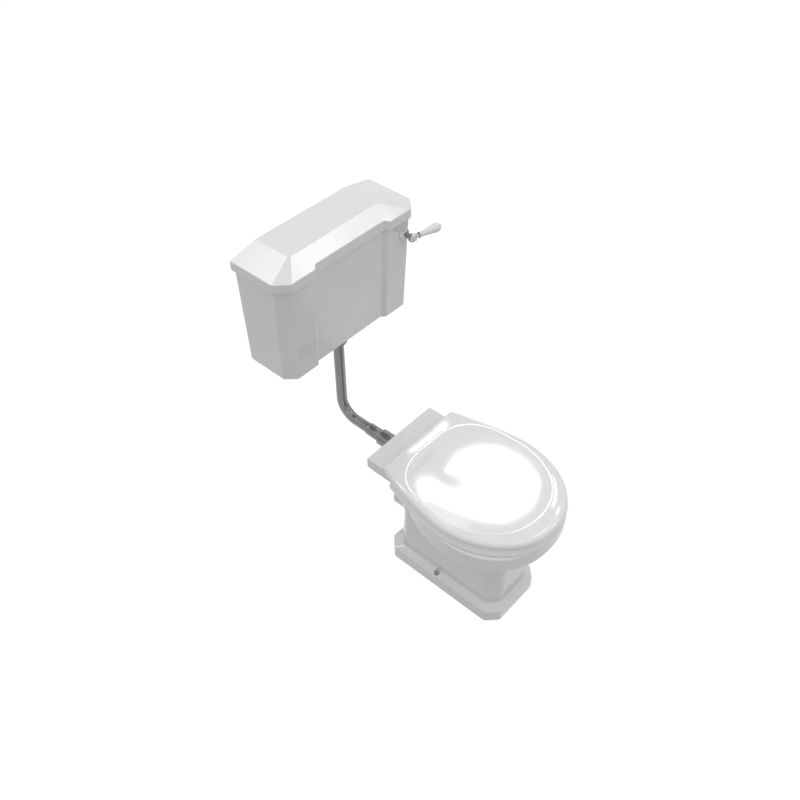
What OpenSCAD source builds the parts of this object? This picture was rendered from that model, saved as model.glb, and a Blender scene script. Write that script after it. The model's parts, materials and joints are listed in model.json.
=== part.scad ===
// Low level toilet: floor-standing pan, wall cistern, short flush pipe, hinged seat and lid.
// Origin on the floor, midway between the two screw holes of the foot. +Y points to the wall, +Z up.

/* [Placement] */
// Distance from the foot's screw holes to the wall face
wall_y = 573; // [565:1:600]
// Height of the cistern's underside
cistern_z = 678.5; // [660:0.5:760]

/* [Pan] */
// Height of the rim's top
rim_z = 400; // [392:1:410]
// Half width of the rim
rim_a = 204; // [198:1:210]
// Reach of the rim in front of its widest line
rim_front = 208; // [195:1:220]
// Reach of the rim behind its widest line
rim_back = 251; // [246:1:256]
// Place of the rim's widest line
rim_wide_y = -100; // [-106:1:-94]
// Width of the rim's flat top
rim_band = 41; // [36:1:44]
// Height of the rim's side
rim_side = 57; // [50:1:60]
// Half width of the pedestal
ped_a = 90; // [86:1:94]
// Front face of the pedestal
ped_front_y = -208.6; // [-214:0.2:-200]
// Back face of the pedestal
ped_back_y = 173; // [168:1:176]
// How far the pedestal's back leans forward by its top
ped_lean = 10; // [4:1:14]
// Corner chamfer of the pedestal
ped_chamfer = 31; // [24:1:36]
// Wall of the pedestal
ped_wall = 12; // [10:0.5:14]
// How far the plinth stands out past the pedestal
plinth_out = 20; // [18.5:0.5:22]
// Height of the plinth's upright side
plinth_h = 42.5; // [36:0.5:48]
// Height at which the plinth's slope meets the pedestal
ledge_z = 55; // [50:0.5:62]
// Radius of the throat at the bottom of the bowl
throat_r = 42; // [41:0.5:46]
// Place of the throat
throat_y = -54; // [-58:1:-50]
// Radius of the trap's water way
trap_r = 38; // [34:0.5:38.5]
// Wall of the trap
trap_wall = 10; // [8:0.5:11]
// Height of the soil outlet's centre
outlet_z = 185; // [182:1:190]
// Outer radius of the soil outlet
outlet_r = 51; // [50:0.5:52]
// End of the soil outlet
outlet_y = 216; // [210:1:240]
// Height of the flush inlet's centre
inlet_z = 352; // [349:0.5:353]
// Outer radius of the flush inlet
inlet_r = 25; // [24.5:0.5:26]
// Bore radius of the flush inlet
inlet_bore = 20; // [19:0.5:21]
// Reach of the flush inlet past the back of the deck
inlet_past_deck = 6; // [3:1:10]

/* [Deck] */
// Half width of the deck
deck_a = 137; // [133:1:139]
// Back edge of the deck
deck_back_y = 239; // [234:1:245]
// Thickness of the deck below the rim's height
deck_t = 14; // [12:0.5:18]
// Height of the raised back above the rim
deck_rise = 22; // [14:1:24]
// Foot of the slope up to the raised back
deck_slope_y = 168; // [168:1:176]
// Length of the slope
deck_slope = 6; // [5:1:10]

/* [Floor and wall fixings] */
// Distance from the middle to each floor screw hole
floor_hole_x = 98; // [97:0.5:99]
// Radius of the floor screw holes
floor_hole_r = 4; // [3:0.25:5]
// Radius of the recess for the screw's cap
floor_recess_r = 9.5; // [8:0.25:10]
// Height of the recess's bottom
floor_recess_z = 34; // [28:1:38]
// Distance from the middle to each wall screw hole
wall_hole_x = 180; // [150:5:200]
// Height of the wall screw holes above the cistern's underside
wall_hole_h = 251.5; // [200:0.5:270]
// Radius of the wall screw holes
wall_hole_r = 4; // [3:0.25:5]

/* [Cistern] */
// Width of the cistern's underside
body_w = 480; // [470:1:495]
// Depth of the cistern's underside
body_d = 165; // [160:1:170]
// Height of the body
body_h = 303.5; // [295:0.5:320]
// Growth of the half width from underside to top
body_flare_x = 8.5; // [3:0.5:9]
// Growth of the depth from underside to top
body_flare_y = 15; // [10:0.5:16]
// Wall of the body
body_wall = 9; // [8:0.5:11]
// Corner chamfer of the body
body_chamfer = 28; // [22:1:34]
// Half width of the recessed front
recess_a = 125.5; // [110:0.5:132]
// Depth of the recess
recess_d = 11.5; // [6:0.5:13]

/* [Cistern lid] */
// Overhang of the lid past the body's top
lid_over = 6.5; // [5:0.5:9]
// Height of the lid's upright rim
lid_rim_h = 29.5; // [24:0.5:34]
// Rise of the hipped roof
lid_roof_h = 19.3; // [14:0.1:24]
// Run of the roof slopes at the sides
roof_run_x = 91; // [80:1:100]
// Run of the roof slope at the front
roof_run_y = 65; // [55:1:70]
// Wall of the lid
lid_wall = 8; // [7:0.5:10]
// Depth of the lip that locates the lid inside the body
lid_lip = 10; // [6:1:14]
// Lift that takes the lid off
lid_lift = 80; // [60:5:120]

/* [Seat] */
// Half width of the seat lid
seat_a = 200; // [196:1:204]
// Reach of the seat lid in front of its widest line
seat_front = 241; // [232:1:248]
// Place of the widest line
seat_wide_y = -72; // [-78:1:-66]
// Half width of the seat lid at its back edge
seat_back_a = 149; // [142:1:152]
// Place of the seat lid's back edge
seat_back_y = 163; // [160:1:164]
// Height of the buffers between rim and seat
buffer_h = 7; // [6:0.5:8]
// Thickness of the seat ring
ring_t = 18; // [16:0.5:19]
// Depth of the lip under the ring's outer edge, which hides the pads
ring_lip = 5.8; // [3:0.1:5.8]
// Thickness of the seat lid
cover_t = 22; // [21:0.5:24]
// Half width of the opening in the seat ring
open_a = 112; // [100:1:120]
// Reach of the opening to the front of the widest line
open_front = 168; // [150:1:175]
// Reach of the opening behind the widest line
open_back = 132; // [120:1:140]

/* [Seat hinge] */
// Distance from the middle to each hinge post
hinge_x = 77.5; // [75:0.5:80]
// Place of the hinge axis
hinge_y = 150; // [149:0.5:151]
// Radius of the hinge pin
hinge_pin_r = 3.5; // [3:0.25:4]
// Radius of the hinge barrels
barrel_r = 7; // [6:0.25:7]
// Radius of the hinge bolt
hinge_bolt_r = 4; // [3:0.25:4.5]

/* [Lever] */
// Distance from the underside's right edge in to the lever's axis
lever_in = 40; // [37:1:44]
// Distance from the body's top down to the lever's axis
lever_down = 43; // [39:0.5:48]
// Droop of the handle at rest
handle_droop = 10; // [6:1:16]
// Radius of the spindle
spindle_r = 5; // [4:0.25:5.5]
// Radius of the rosette
rosette_r = 17.5; // [15:0.5:19]
// Radius of the hub
hub_r = 13; // [12:0.5:14]
// Distance from the wall's face to the hub's centre
hub_out = 32; // [30:0.5:36]
// Distance from the hub's centre to the handle's narrow end
handle_start = 31; // [29:1:34]
// Length of the handle
handle_l = 80; // [70:1:95]
// Radius of the handle near its tip
handle_r = 14; // [12:0.5:15]
// Turn of the lever that raises the siphon
lever_turn = 25; // [20:1:28]

/* [Siphon] */
// Distance from the front of the underside back to the down leg and the flush pipe
pipe_in = 63; // [63:0.5:66]
// Distance from the down leg to the lifting rod
rod_x = 71.5; // [70:0.5:75]
// Outer radius of the siphon chamber
chamber_r = 42; // [40:0.5:44]
// Outer radius of the siphon legs
leg_r = 20; // [19:0.5:20.5]
// Radius of the lifting rod
rod_r = 3; // [2.5:0.25:3.5]
// Outer radius of the siphon's tail
tail_r = 24; // [22:0.5:25]
// Depth of the siphon's crown, at its bend's centre, below the cistern's top edge
siphon_down = 102; // [100:1:112]

/* [Flush pipe] */
// Outer radius of the flush pipe
pipe_r = 16; // [15.5:0.1:16.5]
// Wall of the flush pipe
pipe_wall = 1.5; // [1:0.25:2.5]
// Bend radius of the flush pipe on its centre line
pipe_bend = 60; // [50:1:70]
// Outer radius of the sleeve
sleeve_r = 18.8; // [18:0.2:20]
// Length of the sleeve
sleeve_l = 52; // [40:1:60]
// Outer radius of the collar
collar_r = 25.5; // [25:0.25:27]
// Length of the collar
collar_l = 60; // [50:1:65]

/* [Float valve] */
// Distance from the underside's left edge in to the float valve
valve_in = 40; // [37:1:44]
// Distance from the flush pipe back to the float valve
valve_behind = 19; // [15:1:22]
// Radius of the valve's threaded tail
shank_r = 10.4; // [10:0.1:11]
// Radius of the float
float_r = 50; // [44:1:51]
// Gap between the float and the siphon's leg
float_gap = 10; // [7:1:14]
// Fall of the float arm as the cistern empties
float_fall = 50; // [40:1:55]
// Depth of the valve's head below the cistern's top edge
head_down = 98; // [96:1:110]

/* [Clearances] */
// Gap between pieces that are seated on each other
seat_gap = 0.3; // [0.2:0.05:0.5]
// Radial clearance of turning and sliding fits
run_fit = 0.05; // [0.02:0.01:0.1]
// Radial clearance of a bolt, tail or tube in its hole
hole_fit = 1; // [0.6:0.1:1.5]

/* [Hidden] */

$fn = 64;
eps = 1;
pipe_y = wall_y - body_d + pipe_in;
lever_x = body_w / 2 - lever_in;
valve_x = body_w / 2 - valve_in;
valve_y = pipe_y + valve_behind;
ceramic = [0.96, 0.96, 0.95];
seat_white = [0.97, 0.97, 0.96];
chrome = [0.45, 0.45, 0.46];
brass = [0.75, 0.6, 0.3];
black_rubber = [0.12, 0.12, 0.12];
grey_plastic = [0.6, 0.62, 0.64];
white_plastic = [0.88, 0.88, 0.86];

// Outlines

// Points of a chain of corners, with each side cut into its own number of steps
function subdivide(c, k) = [
    for (s = [0:len(c) - 1])
        for (j = [0:k[s] - 1])
            c[s] + (c[(s + 1) % len(c)] - c[s]) * j / k[s]
];

// Rectangle with four equal chamfers, counter-clockwise from its right side
function chamfered(a, y0, y1, ch) = [
    [a, y0 + ch], [a, y1 - ch], [a - ch, y1], [-a + ch, y1],
    [-a, y1 - ch], [-a, y0 + ch], [-a + ch, y0], [a - ch, y0]
];

// An egg is [half width, front reach, back reach, widest y, front power, back power]
function egg_value(e, x, y) =
    y < e[3]
        ? pow(abs(x) / e[0], e[4]) + pow((e[3] - y) / e[1], e[4])
        : pow(abs(x) / e[0], e[5]) + pow((y - e[3]) / e[2], e[5]);
function egg_ray(e, c, t, lo, hi, k) =
    k == 0
        ? lo
        : let (m = (lo + hi) / 2)
          egg_value(e, m * cos(t), c + m * sin(t)) < 1
              ? egg_ray(e, c, t, m, hi, k - 1)
              : egg_ray(e, c, t, lo, m, k - 1);
function egg_grow(e, d) = [e[0] + d, e[1] + d, e[2] + d, e[3], e[4], e[5]];
function ease(u) = let (v = max(0, min(1, u))) v * v * (3 - 2 * v);
function mix(a, b, w) = a * (1 - w) + b * w;

function at_z(p, z) = [for (q = p) [q.x, q.y, z]];
function arc(cx, cy, r, a0, a1, n) = [
    for (i = [0:n]) let (a = a0 + (a1 - a0) * i / n) [cx + r * cos(a), cy + r * sin(a)]
];

// Solids swept through rings of equal length, counter-clockwise from above

function ring_faces(n, k, closed) = [
    for (r = [0:k - (closed ? 1 : 2)])
        for (i = [0:n - 1])
            let (j = (i + 1) % n, s = (r + 1) % k)
            each [
                [r * n + i, s * n + j, r * n + j],
                [r * n + i, s * n + i, s * n + j]
            ]
];

// Rings from the bottom up, with a flat face over each end
module loft(rings) {
    n = len(rings[0]);
    k = len(rings);
    bottom = [for (i = [0:n - 1]) i];
    top = [for (i = [n - 1:-1:0]) (k - 1) * n + i];
    polyhedron(
        points = [for (r = rings) for (q = r) q],
        faces = concat(ring_faces(n, k, false), [bottom, top])
    );
}

// Rings whose last one joins back to the first, like a bent tube
module loft_loop(rings) {
    polyhedron(
        points = [for (r = rings) for (q = r) q],
        faces = ring_faces(len(rings[0]), len(rings), true)
    );
}

// Cylinders and bends along the main directions

module along_y(x, y0, y1, z, r, sides = 0) {
    translate([x, y0, z])
        rotate([-90, 0, 0])
            cylinder(r = r, h = y1 - y0, $fn = sides);
}
module along_x(x0, x1, y, z, r) {
    translate([x0, y, z])
        rotate([0, 90, 0])
            cylinder(r = r, h = x1 - x0);
}
module along_z(x, y, z0, z1, r, sides = 0) {
    translate([x, y, z0])
        cylinder(r = r, h = z1 - z0, $fn = sides);
}
// A bend in the YZ plane about the point [y, z], from angle a0 through turn
module bend_yz(y, z, big_r, r, a0, turn) {
    translate([0, y, z])
        rotate([90, 0, 90])
            rotate([0, 0, a0])
                rotate_extrude(angle = turn)
                    translate([big_r, 0])
                        circle(r = r);
}

// Pan

ped_steps = [12, 4, 6, 4, 12, 4, 6, 4];
ped_mid_y = (ped_front_y + ped_back_y) / 2;
ped_ring = subdivide(chamfered(ped_a, ped_front_y, ped_back_y, ped_chamfer), ped_steps);
ped_top_y = ped_back_y - ped_lean;
ped_top_ring = subdivide(chamfered(ped_a, ped_front_y, ped_top_y, ped_chamfer), ped_steps);
ped_inner_chamfer = ped_chamfer - ped_wall / 3;
function ped_inner(back_y) = subdivide(
    chamfered(ped_a - ped_wall, ped_front_y + ped_wall, back_y - ped_wall, ped_inner_chamfer),
    ped_steps
);
plinth_a = ped_a + plinth_out + 1;
plinth_front_y = ped_front_y - plinth_out + 2.6;
plinth_ring = subdivide(
    chamfered(plinth_a, plinth_front_y, ped_back_y + plinth_out, ped_chamfer + 2),
    ped_steps
);
pan_angles = [for (p = ped_top_ring) atan2(p.y - ped_mid_y, p.x)];

rim_egg = [rim_a, rim_front, rim_back, rim_wide_y, 2.2, 2];
rim_under_z = rim_z - 48;
sweep_z = 250;
sweep_h = rim_z - rim_side - 3 - sweep_z;
sweep_power = 1.8;
sweep_inset = 8;
deck_under_z = rim_z - deck_t;

// The back of the pan widens from the pedestal to the deck: [height, half width, back y]
skirt = [
    [sweep_z, ped_a, ped_top_y],
    [sweep_z + 68, ped_a + 20, ped_top_y + 2],
    [rim_under_z, deck_a - 15, ped_back_y + 2],
    [deck_under_z + 2, deck_a - 0.3, deck_back_y - 40]
];
skirt_chamfer = 14;
function skirt_at(z, col) = lookup(z, [for (s = skirt) [s[0], s[col]]]);
function skirt_ray(t, z) =
    sin(t) <= 0
        ? 0
        : let (a = skirt_at(z, 1), b = skirt_at(z, 2) - ped_mid_y, c = max(abs(cos(t)), 0.001))
          min(a / c, b / sin(t), (a + b - skirt_chamfer) / (c + sin(t)));

ray_steps = 14;
ray_reach = 400;
function egg_reach(e, c, t) = egg_ray(e, c, t, 0, ray_reach, ray_steps);

// Outside of the pan, w = 0 at the pedestal and 1 at the rim
function pan_out(z, w, inset) = [
    for (i = [0:len(ped_ring) - 1])
        let (
            t = pan_angles[i],
            r_ped = norm(ped_top_ring[i] - [0, ped_mid_y]),
            r_rim = egg_reach(egg_grow(rim_egg, -inset), ped_mid_y, t),
            r = max(mix(r_ped, r_rim, w), skirt_ray(t, z))
        )
        [r * cos(t), ped_mid_y + r * sin(t), z]
];
function pan_rim(z, inset) = [
    for (t = pan_angles)
        let (r = egg_reach(egg_grow(rim_egg, -inset), ped_mid_y, t))
        [r * cos(t), ped_mid_y + r * sin(t), z]
];

// Inside of the bowl, u = 1 under the rim and 0 at the throat
bowl_top_z = rim_under_z + 2;
throat_z = 128;
bowl_top = [rim_a - 32, rim_front - 38, rim_back - 30, rim_wide_y];
bowl_powers = [2.2, 1, 1.2];
function bowl_egg(z) =
    let (u = (z - throat_z) / (bowl_top_z - throat_z))
    [
        mix(throat_r, bowl_top[0], pow(u, bowl_powers[0])),
        mix(throat_r, bowl_top[1], pow(u, bowl_powers[1])),
        mix(throat_r, bowl_top[2], pow(u, bowl_powers[2])),
        mix(throat_y, bowl_top[3], u), 2, 2
    ];
function bowl_z(u) = mix(throat_z, bowl_top_z, u);
function bowl_mid(z) = mix(throat_y, ped_mid_y, (z - throat_z) / (bowl_top_z - throat_z));
function bowl_ring(z, out) = [
    for (t = pan_angles)
        let (r = egg_reach(egg_grow(bowl_egg(z), out), bowl_mid(z), t))
        [r * cos(t), bowl_mid(z) + r * sin(t), z]
];

under_top_z = 222;
bowl_wall = 10;
module pan_shell() {
    sweep_rows = [
        for (u = [0, 0.16, 0.32, 0.5, 0.7, 0.87, 1])
            pan_out(sweep_z + u * sweep_h, pow(u, sweep_power), sweep_inset)
    ];
    // Rows of the rim's outside: [height below the top, inset]
    rim_rows = [
        [rim_side, 6], [rim_side - 2.5, 1.8], [rim_side - 7, 0], [5, 0], [1.8, 1], [0.4, 3], [0, 7]
    ];
    // Rows of the rim's inside
    lip_rows = [[0, 7], [2, 3], [7, 0.5], [30, 0], [38, 2], [42, 7], [45, 9]];
    loft_loop(concat(
        [at_z(plinth_ring, 0), at_z(plinth_ring, plinth_h), at_z(ped_ring, ledge_z)],
        sweep_rows,
        [for (r = rim_rows) pan_out(rim_z - r[0], 1, r[1])],
        [for (r = lip_rows) pan_rim(rim_z - r[0], rim_band - r[1])],
        [for (u = [0.97, 0.89, 0.78, 0.67, 0.56, 0.45, 0.34, 0.23, 0.12, 0]) bowl_ring(bowl_z(u), 0)],
        [for (u = [0, 0.12, 0.23, 0.34]) bowl_ring(bowl_z(u), bowl_wall)],
        [bowl_ring(under_top_z, bowl_wall)],
        [at_z(ped_inner(ped_top_y), under_top_z), at_z(ped_inner(ped_back_y), 0)]
    ));
}

function block_ring(z, a, y0, y1) = [[a, y0, z], [a, y1, z], [-a, y1, z], [-a, y0, z]];

// Open space behind the bowl: the trap, the flush inlet and the seat's nuts are reached through it
module rear_hollow() {
    past = deck_back_y + 20;
    loft([
        block_ring(62, 64, ped_top_y - ped_wall - 6, past),
        block_ring(under_top_z - 12, 66, 120, past),
        block_ring(under_top_z + 8, 68, 52, past),
        block_ring(262, 82, 72, past),
        block_ring(302, 97, 98, past),
        block_ring(rim_under_z, 103, 134, past),
        block_ring(deck_under_z + eps, 112, 134, past)
    ]);
}

deck_edge_r = 6;
deck_front_r = 3;
deck_corner_r = 12;
module deck_slab() {
    top = rim_z + deck_rise;
    start_y = 125;
    back = deck_back_y;
    r = deck_edge_r;
    corner = deck_corner_r;
    side = concat(
        [[start_y, deck_under_z]],
        arc(back - r, deck_under_z + r, r, -90, 0, 4),
        arc(back - r, top - r, r, 0, 90, 4),
        arc(deck_slope_y + deck_slope + deck_front_r, top - deck_front_r, deck_front_r, 90, 150, 4),
        [[deck_slope_y, rim_z - 0.4], [start_y, rim_z - 0.4]]
    );
    plan = concat(
        [[-deck_a, start_y], [deck_a, start_y]],
        arc(deck_a - corner, back - corner, corner, 0, 90, 4),
        arc(-deck_a + corner, back - corner, corner, 90, 180, 4)
    );
    end = concat(
        [[-deck_a, deck_under_z - eps], [deck_a, deck_under_z - eps]],
        arc(deck_a - r, top - r, r, 0, 90, 4),
        arc(-deck_a + r, top - r, r, 90, 180, 4)
    );
    intersection() {
        translate([-deck_a - eps, 0, 0])
            rotate([90, 0, 90])
                linear_extrude(2 * deck_a + 2 * eps)
                    polygon(side);
        translate([0, 0, deck_under_z - eps])
            linear_extrude(deck_rise + deck_t + 2 * eps)
                polygon(plan);
        translate([0, back + eps, 0])
            rotate([90, 0, 0])
                linear_extrude(back)
                    polygon(end);
    }
}

trap_bend = 72;
trap_leg_z = 135;
weir_bend = 50;
trap_mid_y = throat_y + trap_bend;
trap_back_y = throat_y + 2 * trap_bend;
module trap_way(r, top, past) {
    along_z(0, throat_y, trap_leg_z, top, r);
    bend_yz(trap_mid_y, trap_leg_z, trap_bend, r, 180, 180);
    bend_yz(trap_back_y + weir_bend, trap_leg_z, weir_bend, r, 90, 90);
    along_y(0, trap_back_y + weir_bend, past, outlet_z, r);
}

inlet_end_y = deck_back_y + inlet_past_deck;
horn_start_y = 128;
module pan() {
    color(ceramic)
        difference() {
            union() {
                difference() {
                    pan_shell();
                    rear_hollow();
                }
                deck_slab();
                trap_way(trap_r + trap_wall, trap_leg_z + 15, outlet_y - 60);
                along_y(0, outlet_y - 62, outlet_y, outlet_z, outlet_r);
                along_y(0, horn_start_y, inlet_end_y, inlet_z, inlet_r);
            }
            trap_way(trap_r, trap_leg_z + 16, outlet_y - 40);
            along_y(0, outlet_y - 50, outlet_y + eps, outlet_z, outlet_r - 8);
            along_y(0, horn_start_y - 30, inlet_end_y + eps, inlet_z, inlet_bore);
            for (side = [-1, 1]) {
                along_z(side * floor_hole_x, 0, -eps, ledge_z + eps, floor_hole_r);
                along_z(side * floor_hole_x, 0, floor_recess_z, ledge_z + 6, floor_recess_r);
                along_z(side * hinge_x, hinge_y, deck_under_z - eps, rim_z + eps, hinge_bolt_r + hole_fit);
            }
        }
}

// Cistern

body_top_z = cistern_z + body_h;
body_back_r = 8;
// Plan of the body at a share s of its height, drawn in by inset
function body_plan(s, inset) =
    let (
        a = body_w / 2 + s * body_flare_x - inset,
        yf = wall_y - body_d - s * body_flare_y + inset,
        yb = wall_y - inset,
        ch = body_chamfer + 3 * s - inset * 0.4
    )
    [
        [a, yf + ch], [a, yb - body_back_r], [a - body_back_r, yb], [-a + body_back_r, yb],
        [-a, yb - body_back_r], [-a, yf + ch], [-a + ch, yf], [a - ch, yf]
    ];
// Plan of what the recess takes from the body's front
function recess_plan(s, inset) =
    let (
        a = recess_a + inset * 0.4,
        y = wall_y - body_d - s * body_flare_y + inset + recess_d,
        out = recess_d + 30
    )
    [[a + out, y - out], [a, y], [-a, y], [-a - out, y - out]];
body_floor = 10;
body_floor_z = cistern_z + body_floor;
function front_y(z) = wall_y - body_d - (z - cistern_z) / body_h * body_flare_y;

module cistern_body() {
    edge = 3;
    past = eps / body_h;
    foot = body_floor / body_h;
    color(ceramic)
        difference() {
            loft([
                at_z(body_plan(0, edge), cistern_z),
                at_z(body_plan(edge / body_h, 0), cistern_z + edge),
                at_z(body_plan(1, 0), body_top_z)
            ]);
            loft([
                at_z(recess_plan(-past, edge + eps), cistern_z - eps),
                at_z(recess_plan(edge / body_h, 0), cistern_z + edge),
                at_z(recess_plan(1 + past, 0), body_top_z + eps)
            ]);
            difference() {
                loft([
                    at_z(body_plan(foot, body_wall), body_floor_z),
                    at_z(body_plan(1 + past, body_wall), body_top_z + eps)
                ]);
                loft([
                    at_z(recess_plan(foot - past, body_wall), body_floor_z - eps),
                    at_z(recess_plan(1 + 2 * past, body_wall), body_top_z + 2 * eps)
                ]);
            }
            along_z(0, pipe_y, cistern_z - eps, body_floor_z + eps, tail_r + hole_fit);
            along_z(-valve_x, valve_y, cistern_z - eps, body_floor_z + eps, shank_r + hole_fit);
            along_y(lever_x, face_y - 5, face_y + body_wall + 5, lever_z, bush_r + hole_fit);
            for (side = [-1, 1])
                along_y(side * wall_hole_x, wall_y - body_wall - eps, wall_y + eps, wall_hole_z, wall_hole_r);
        }
}
wall_hole_z = cistern_z + wall_hole_h;

// Cistern lid

lid_a = body_w / 2 + body_flare_x + lid_over;
lid_front_y = wall_y - body_d - body_flare_y - lid_over;
lid_chamfer = body_chamfer + 3 + lid_over * 0.6;
lid_z = body_top_z;
// Plan of the lid drawn in by dx at the sides and dy at the front
function lid_plan(dx, dy, back, ch) =
    let (a = lid_a - dx, yf = lid_front_y + dy, yb = wall_y - back)
    [[a, yf + ch], [a, yb], [-a, yb], [-a, yf + ch], [-a + ch, yf], [a - ch, yf]];

module lid_outside() {
    roof_z = lid_z + lid_rim_h;
    loft([
        at_z(lid_plan(1.5, 1.5, 0, lid_chamfer), lid_z),
        at_z(lid_plan(0, 0, 0, lid_chamfer), lid_z + 2),
        at_z(lid_plan(0, 0, 0, lid_chamfer), roof_z),
        at_z(lid_plan(roof_run_x, roof_run_y, 0, 4.6), roof_z + lid_roof_h)
    ]);
}
// The lip stands inside the body's walls, clear of its corners
lip_gap = 2;
lip_t = 6;
lip_in = body_wall + lip_gap + lid_over;
lip_back = body_wall + lip_gap + body_back_r - 1;
module lid_inside() {
    roof_z = lid_z + lid_rim_h - lid_wall / 2;
    w = lid_wall + lid_over;
    lip_w = lip_in + lip_t;
    loft([
        for (z = [lid_z - lid_lip - eps, lid_z + 3])
            at_z(lid_plan(lip_w, lip_w + recess_d, lip_back + lip_t, lid_chamfer - 3), z),
        for (z = [lid_z + 11, roof_z - 6])
            at_z(lid_plan(w, w + recess_d, lip_back, lid_chamfer - 3), z),
        at_z(lid_plan(roof_run_x, roof_run_y, lip_back + lip_t, 4.6), roof_z + lid_roof_h - 6)
    ]);
}
module recess_block(z0, z1) {
    top_a = recess_a + 0.5;
    reach = recess_d + 1;
    translate([0, 0, z0])
        linear_extrude(z1 - z0)
            polygon([
                [-top_a - reach - 20, lid_front_y - 20], [top_a + reach + 20, lid_front_y - 20],
                [top_a, lid_front_y + reach], [-top_a, lid_front_y + reach]
            ]);
}
module cistern_lid() {
    lip_plan = lid_plan(lip_in, lip_in + recess_d, lip_back, lid_chamfer);
    color(ceramic)
        translate([0, 0, seat_gap])
            difference() {
                union() {
                    difference() {
                        lid_outside();
                        recess_block(lid_z - eps, lid_z + lid_rim_h + lid_roof_h);
                    }
                    loft([at_z(lip_plan, lid_z - lid_lip), at_z(lip_plan, lid_z + 6)]);
                }
                lid_inside();
            }
}

// Seat

ring_z = rim_z + buffer_h;
cover_z = ring_z + ring_t + 2;
hinge_z = cover_z + 3;
seat_bulge = 1.59;
seat_corner_r = 8;
open_y = -72;
cover_pocket_z = hinge_z + barrel_r + 1;
hinge_width = 15;
lug_gap = 1;
lug_w = 17;

// Seat outline: a rounded front, sides that draw in, a straight back with small corners
function seat_side(y) =
    seat_a - (seat_a - seat_back_a) * pow(max(y - seat_wide_y, 0) / (seat_back_y - seat_wide_y), seat_bulge);
function seat_outline(back_y, inset) =
    let (
        a = seat_a - inset,
        f = seat_front - inset,
        yb = back_y - inset,
        ab = seat_side(back_y) - inset,
        r = seat_corner_r - inset * 0.4,
        side_n = 7,
        front_n = 24,
        right = [
            for (i = [1:side_n])
                let (y = mix(seat_wide_y, yb - r, i / side_n))
                [seat_side(y) - inset, y]
        ],
        corner = arc(ab + (seat_side(yb - r) - inset - ab) - r, yb - r, r, 15, 90, 4),
        back = [for (i = [1:7]) [mix(corner[4].x, -corner[4].x, i / 8), yb]],
        front = [
            for (i = [0:front_n])
                let (t = 180 + 180 * i / front_n, c = cos(t), s = sin(t), p = 2 / 2.05)
                [a * sign(c) * pow(abs(c), p), seat_wide_y + f * sign(s) * pow(abs(s), p)]
        ]
    )
    concat(
        right,
        corner,
        back,
        [for (i = [4:-1:0]) [-corner[i].x, corner[i].y]],
        [for (i = [side_n - 1:-1:0]) [-right[i].x, right[i].y]],
        front
    );

panel_egg = [175, 197, 194, -64, 2.13, 2.93];
function panel_ring(outline, grow, z) = [
    for (p = outline)
        let (t = atan2(p.y - open_y, p.x), r = egg_reach(egg_grow(panel_egg, grow), open_y, t))
        [r * cos(t), open_y + r * sin(t), z]
];
function open_ring(outline, grow, z) = [
    for (p = outline)
        let (
            t = atan2(p.y - open_y, p.x),
            r = egg_reach(egg_grow([open_a, open_front, open_back, open_y, 2.1, 2.1], grow), open_y, t)
        )
        [r * cos(t), open_y + r * sin(t), z]
];

module seat_ring() {
    back_y = hinge_y - 14;
    // How much further forward the lip's back edge lies
    lip_set = 4;
    outline = seat_outline(back_y, 2);
    z0 = ring_z;
    z1 = ring_z + ring_t;
    color(seat_white)
        difference() {
            union() {
                loft_loop([
                    at_z(seat_outline(back_y - lip_set, 6), z0),
                    at_z(seat_outline(back_y - lip_set, 5), z0 - ring_lip),
                    at_z(seat_outline(back_y - lip_set, -1.5), z0 - ring_lip),
                    at_z(seat_outline(back_y - lip_set, -2), z0 - ring_lip + 2.5),
                    at_z(outline, z0 + 8),
                    at_z(seat_outline(back_y, 4), z1 - 4),
                    at_z(seat_outline(back_y, 10), z1),
                    open_ring(outline, 14, z1),
                    open_ring(outline, 6, z1 - 3),
                    open_ring(outline, 0, z1 - 9),
                    open_ring(outline, 2, z0 + 3),
                    open_ring(outline, 6, z0)
                ]);
                for (side = [-1, 1]) {
                    barrel(side * lug_x(1), lug_w / 2, barrel_r);
                    seat_lug_web(side);
                }
            }
            for (side = [-1, 1])
                barrel(side * lug_x(1), lug_w, hinge_pin_r + run_fit);
        }
}
// Middle of the lug outside (1) or inside (-1) of a hinge post
function lug_x(outside) = hinge_x + outside * (hinge_width / 2 + lug_gap + lug_w / 2);
// Cylinder on the hinge axis, half as long as given to each side of x
module barrel(x, half, r) {
    along_x(x - half, x + half, hinge_y, hinge_z, r);
}

module seat_lug_web(side) {
    foot_y = hinge_y - 30;
    translate([side * lug_x(1) - lug_w / 2, 0, 0])
        rotate([90, 0, 90])
            linear_extrude(lug_w)
                polygon([
                    [hinge_y - 6, hinge_z + 2], [hinge_y - 8.5, hinge_z - 4],
                    [hinge_y - 14, ring_z + ring_t - 2], [foot_y, ring_z + ring_t - 2], [foot_y, ring_z + 4],
                    [hinge_y - 14, ring_z + 4], [hinge_y + 2, hinge_z - 6]
                ]);
}

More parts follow.
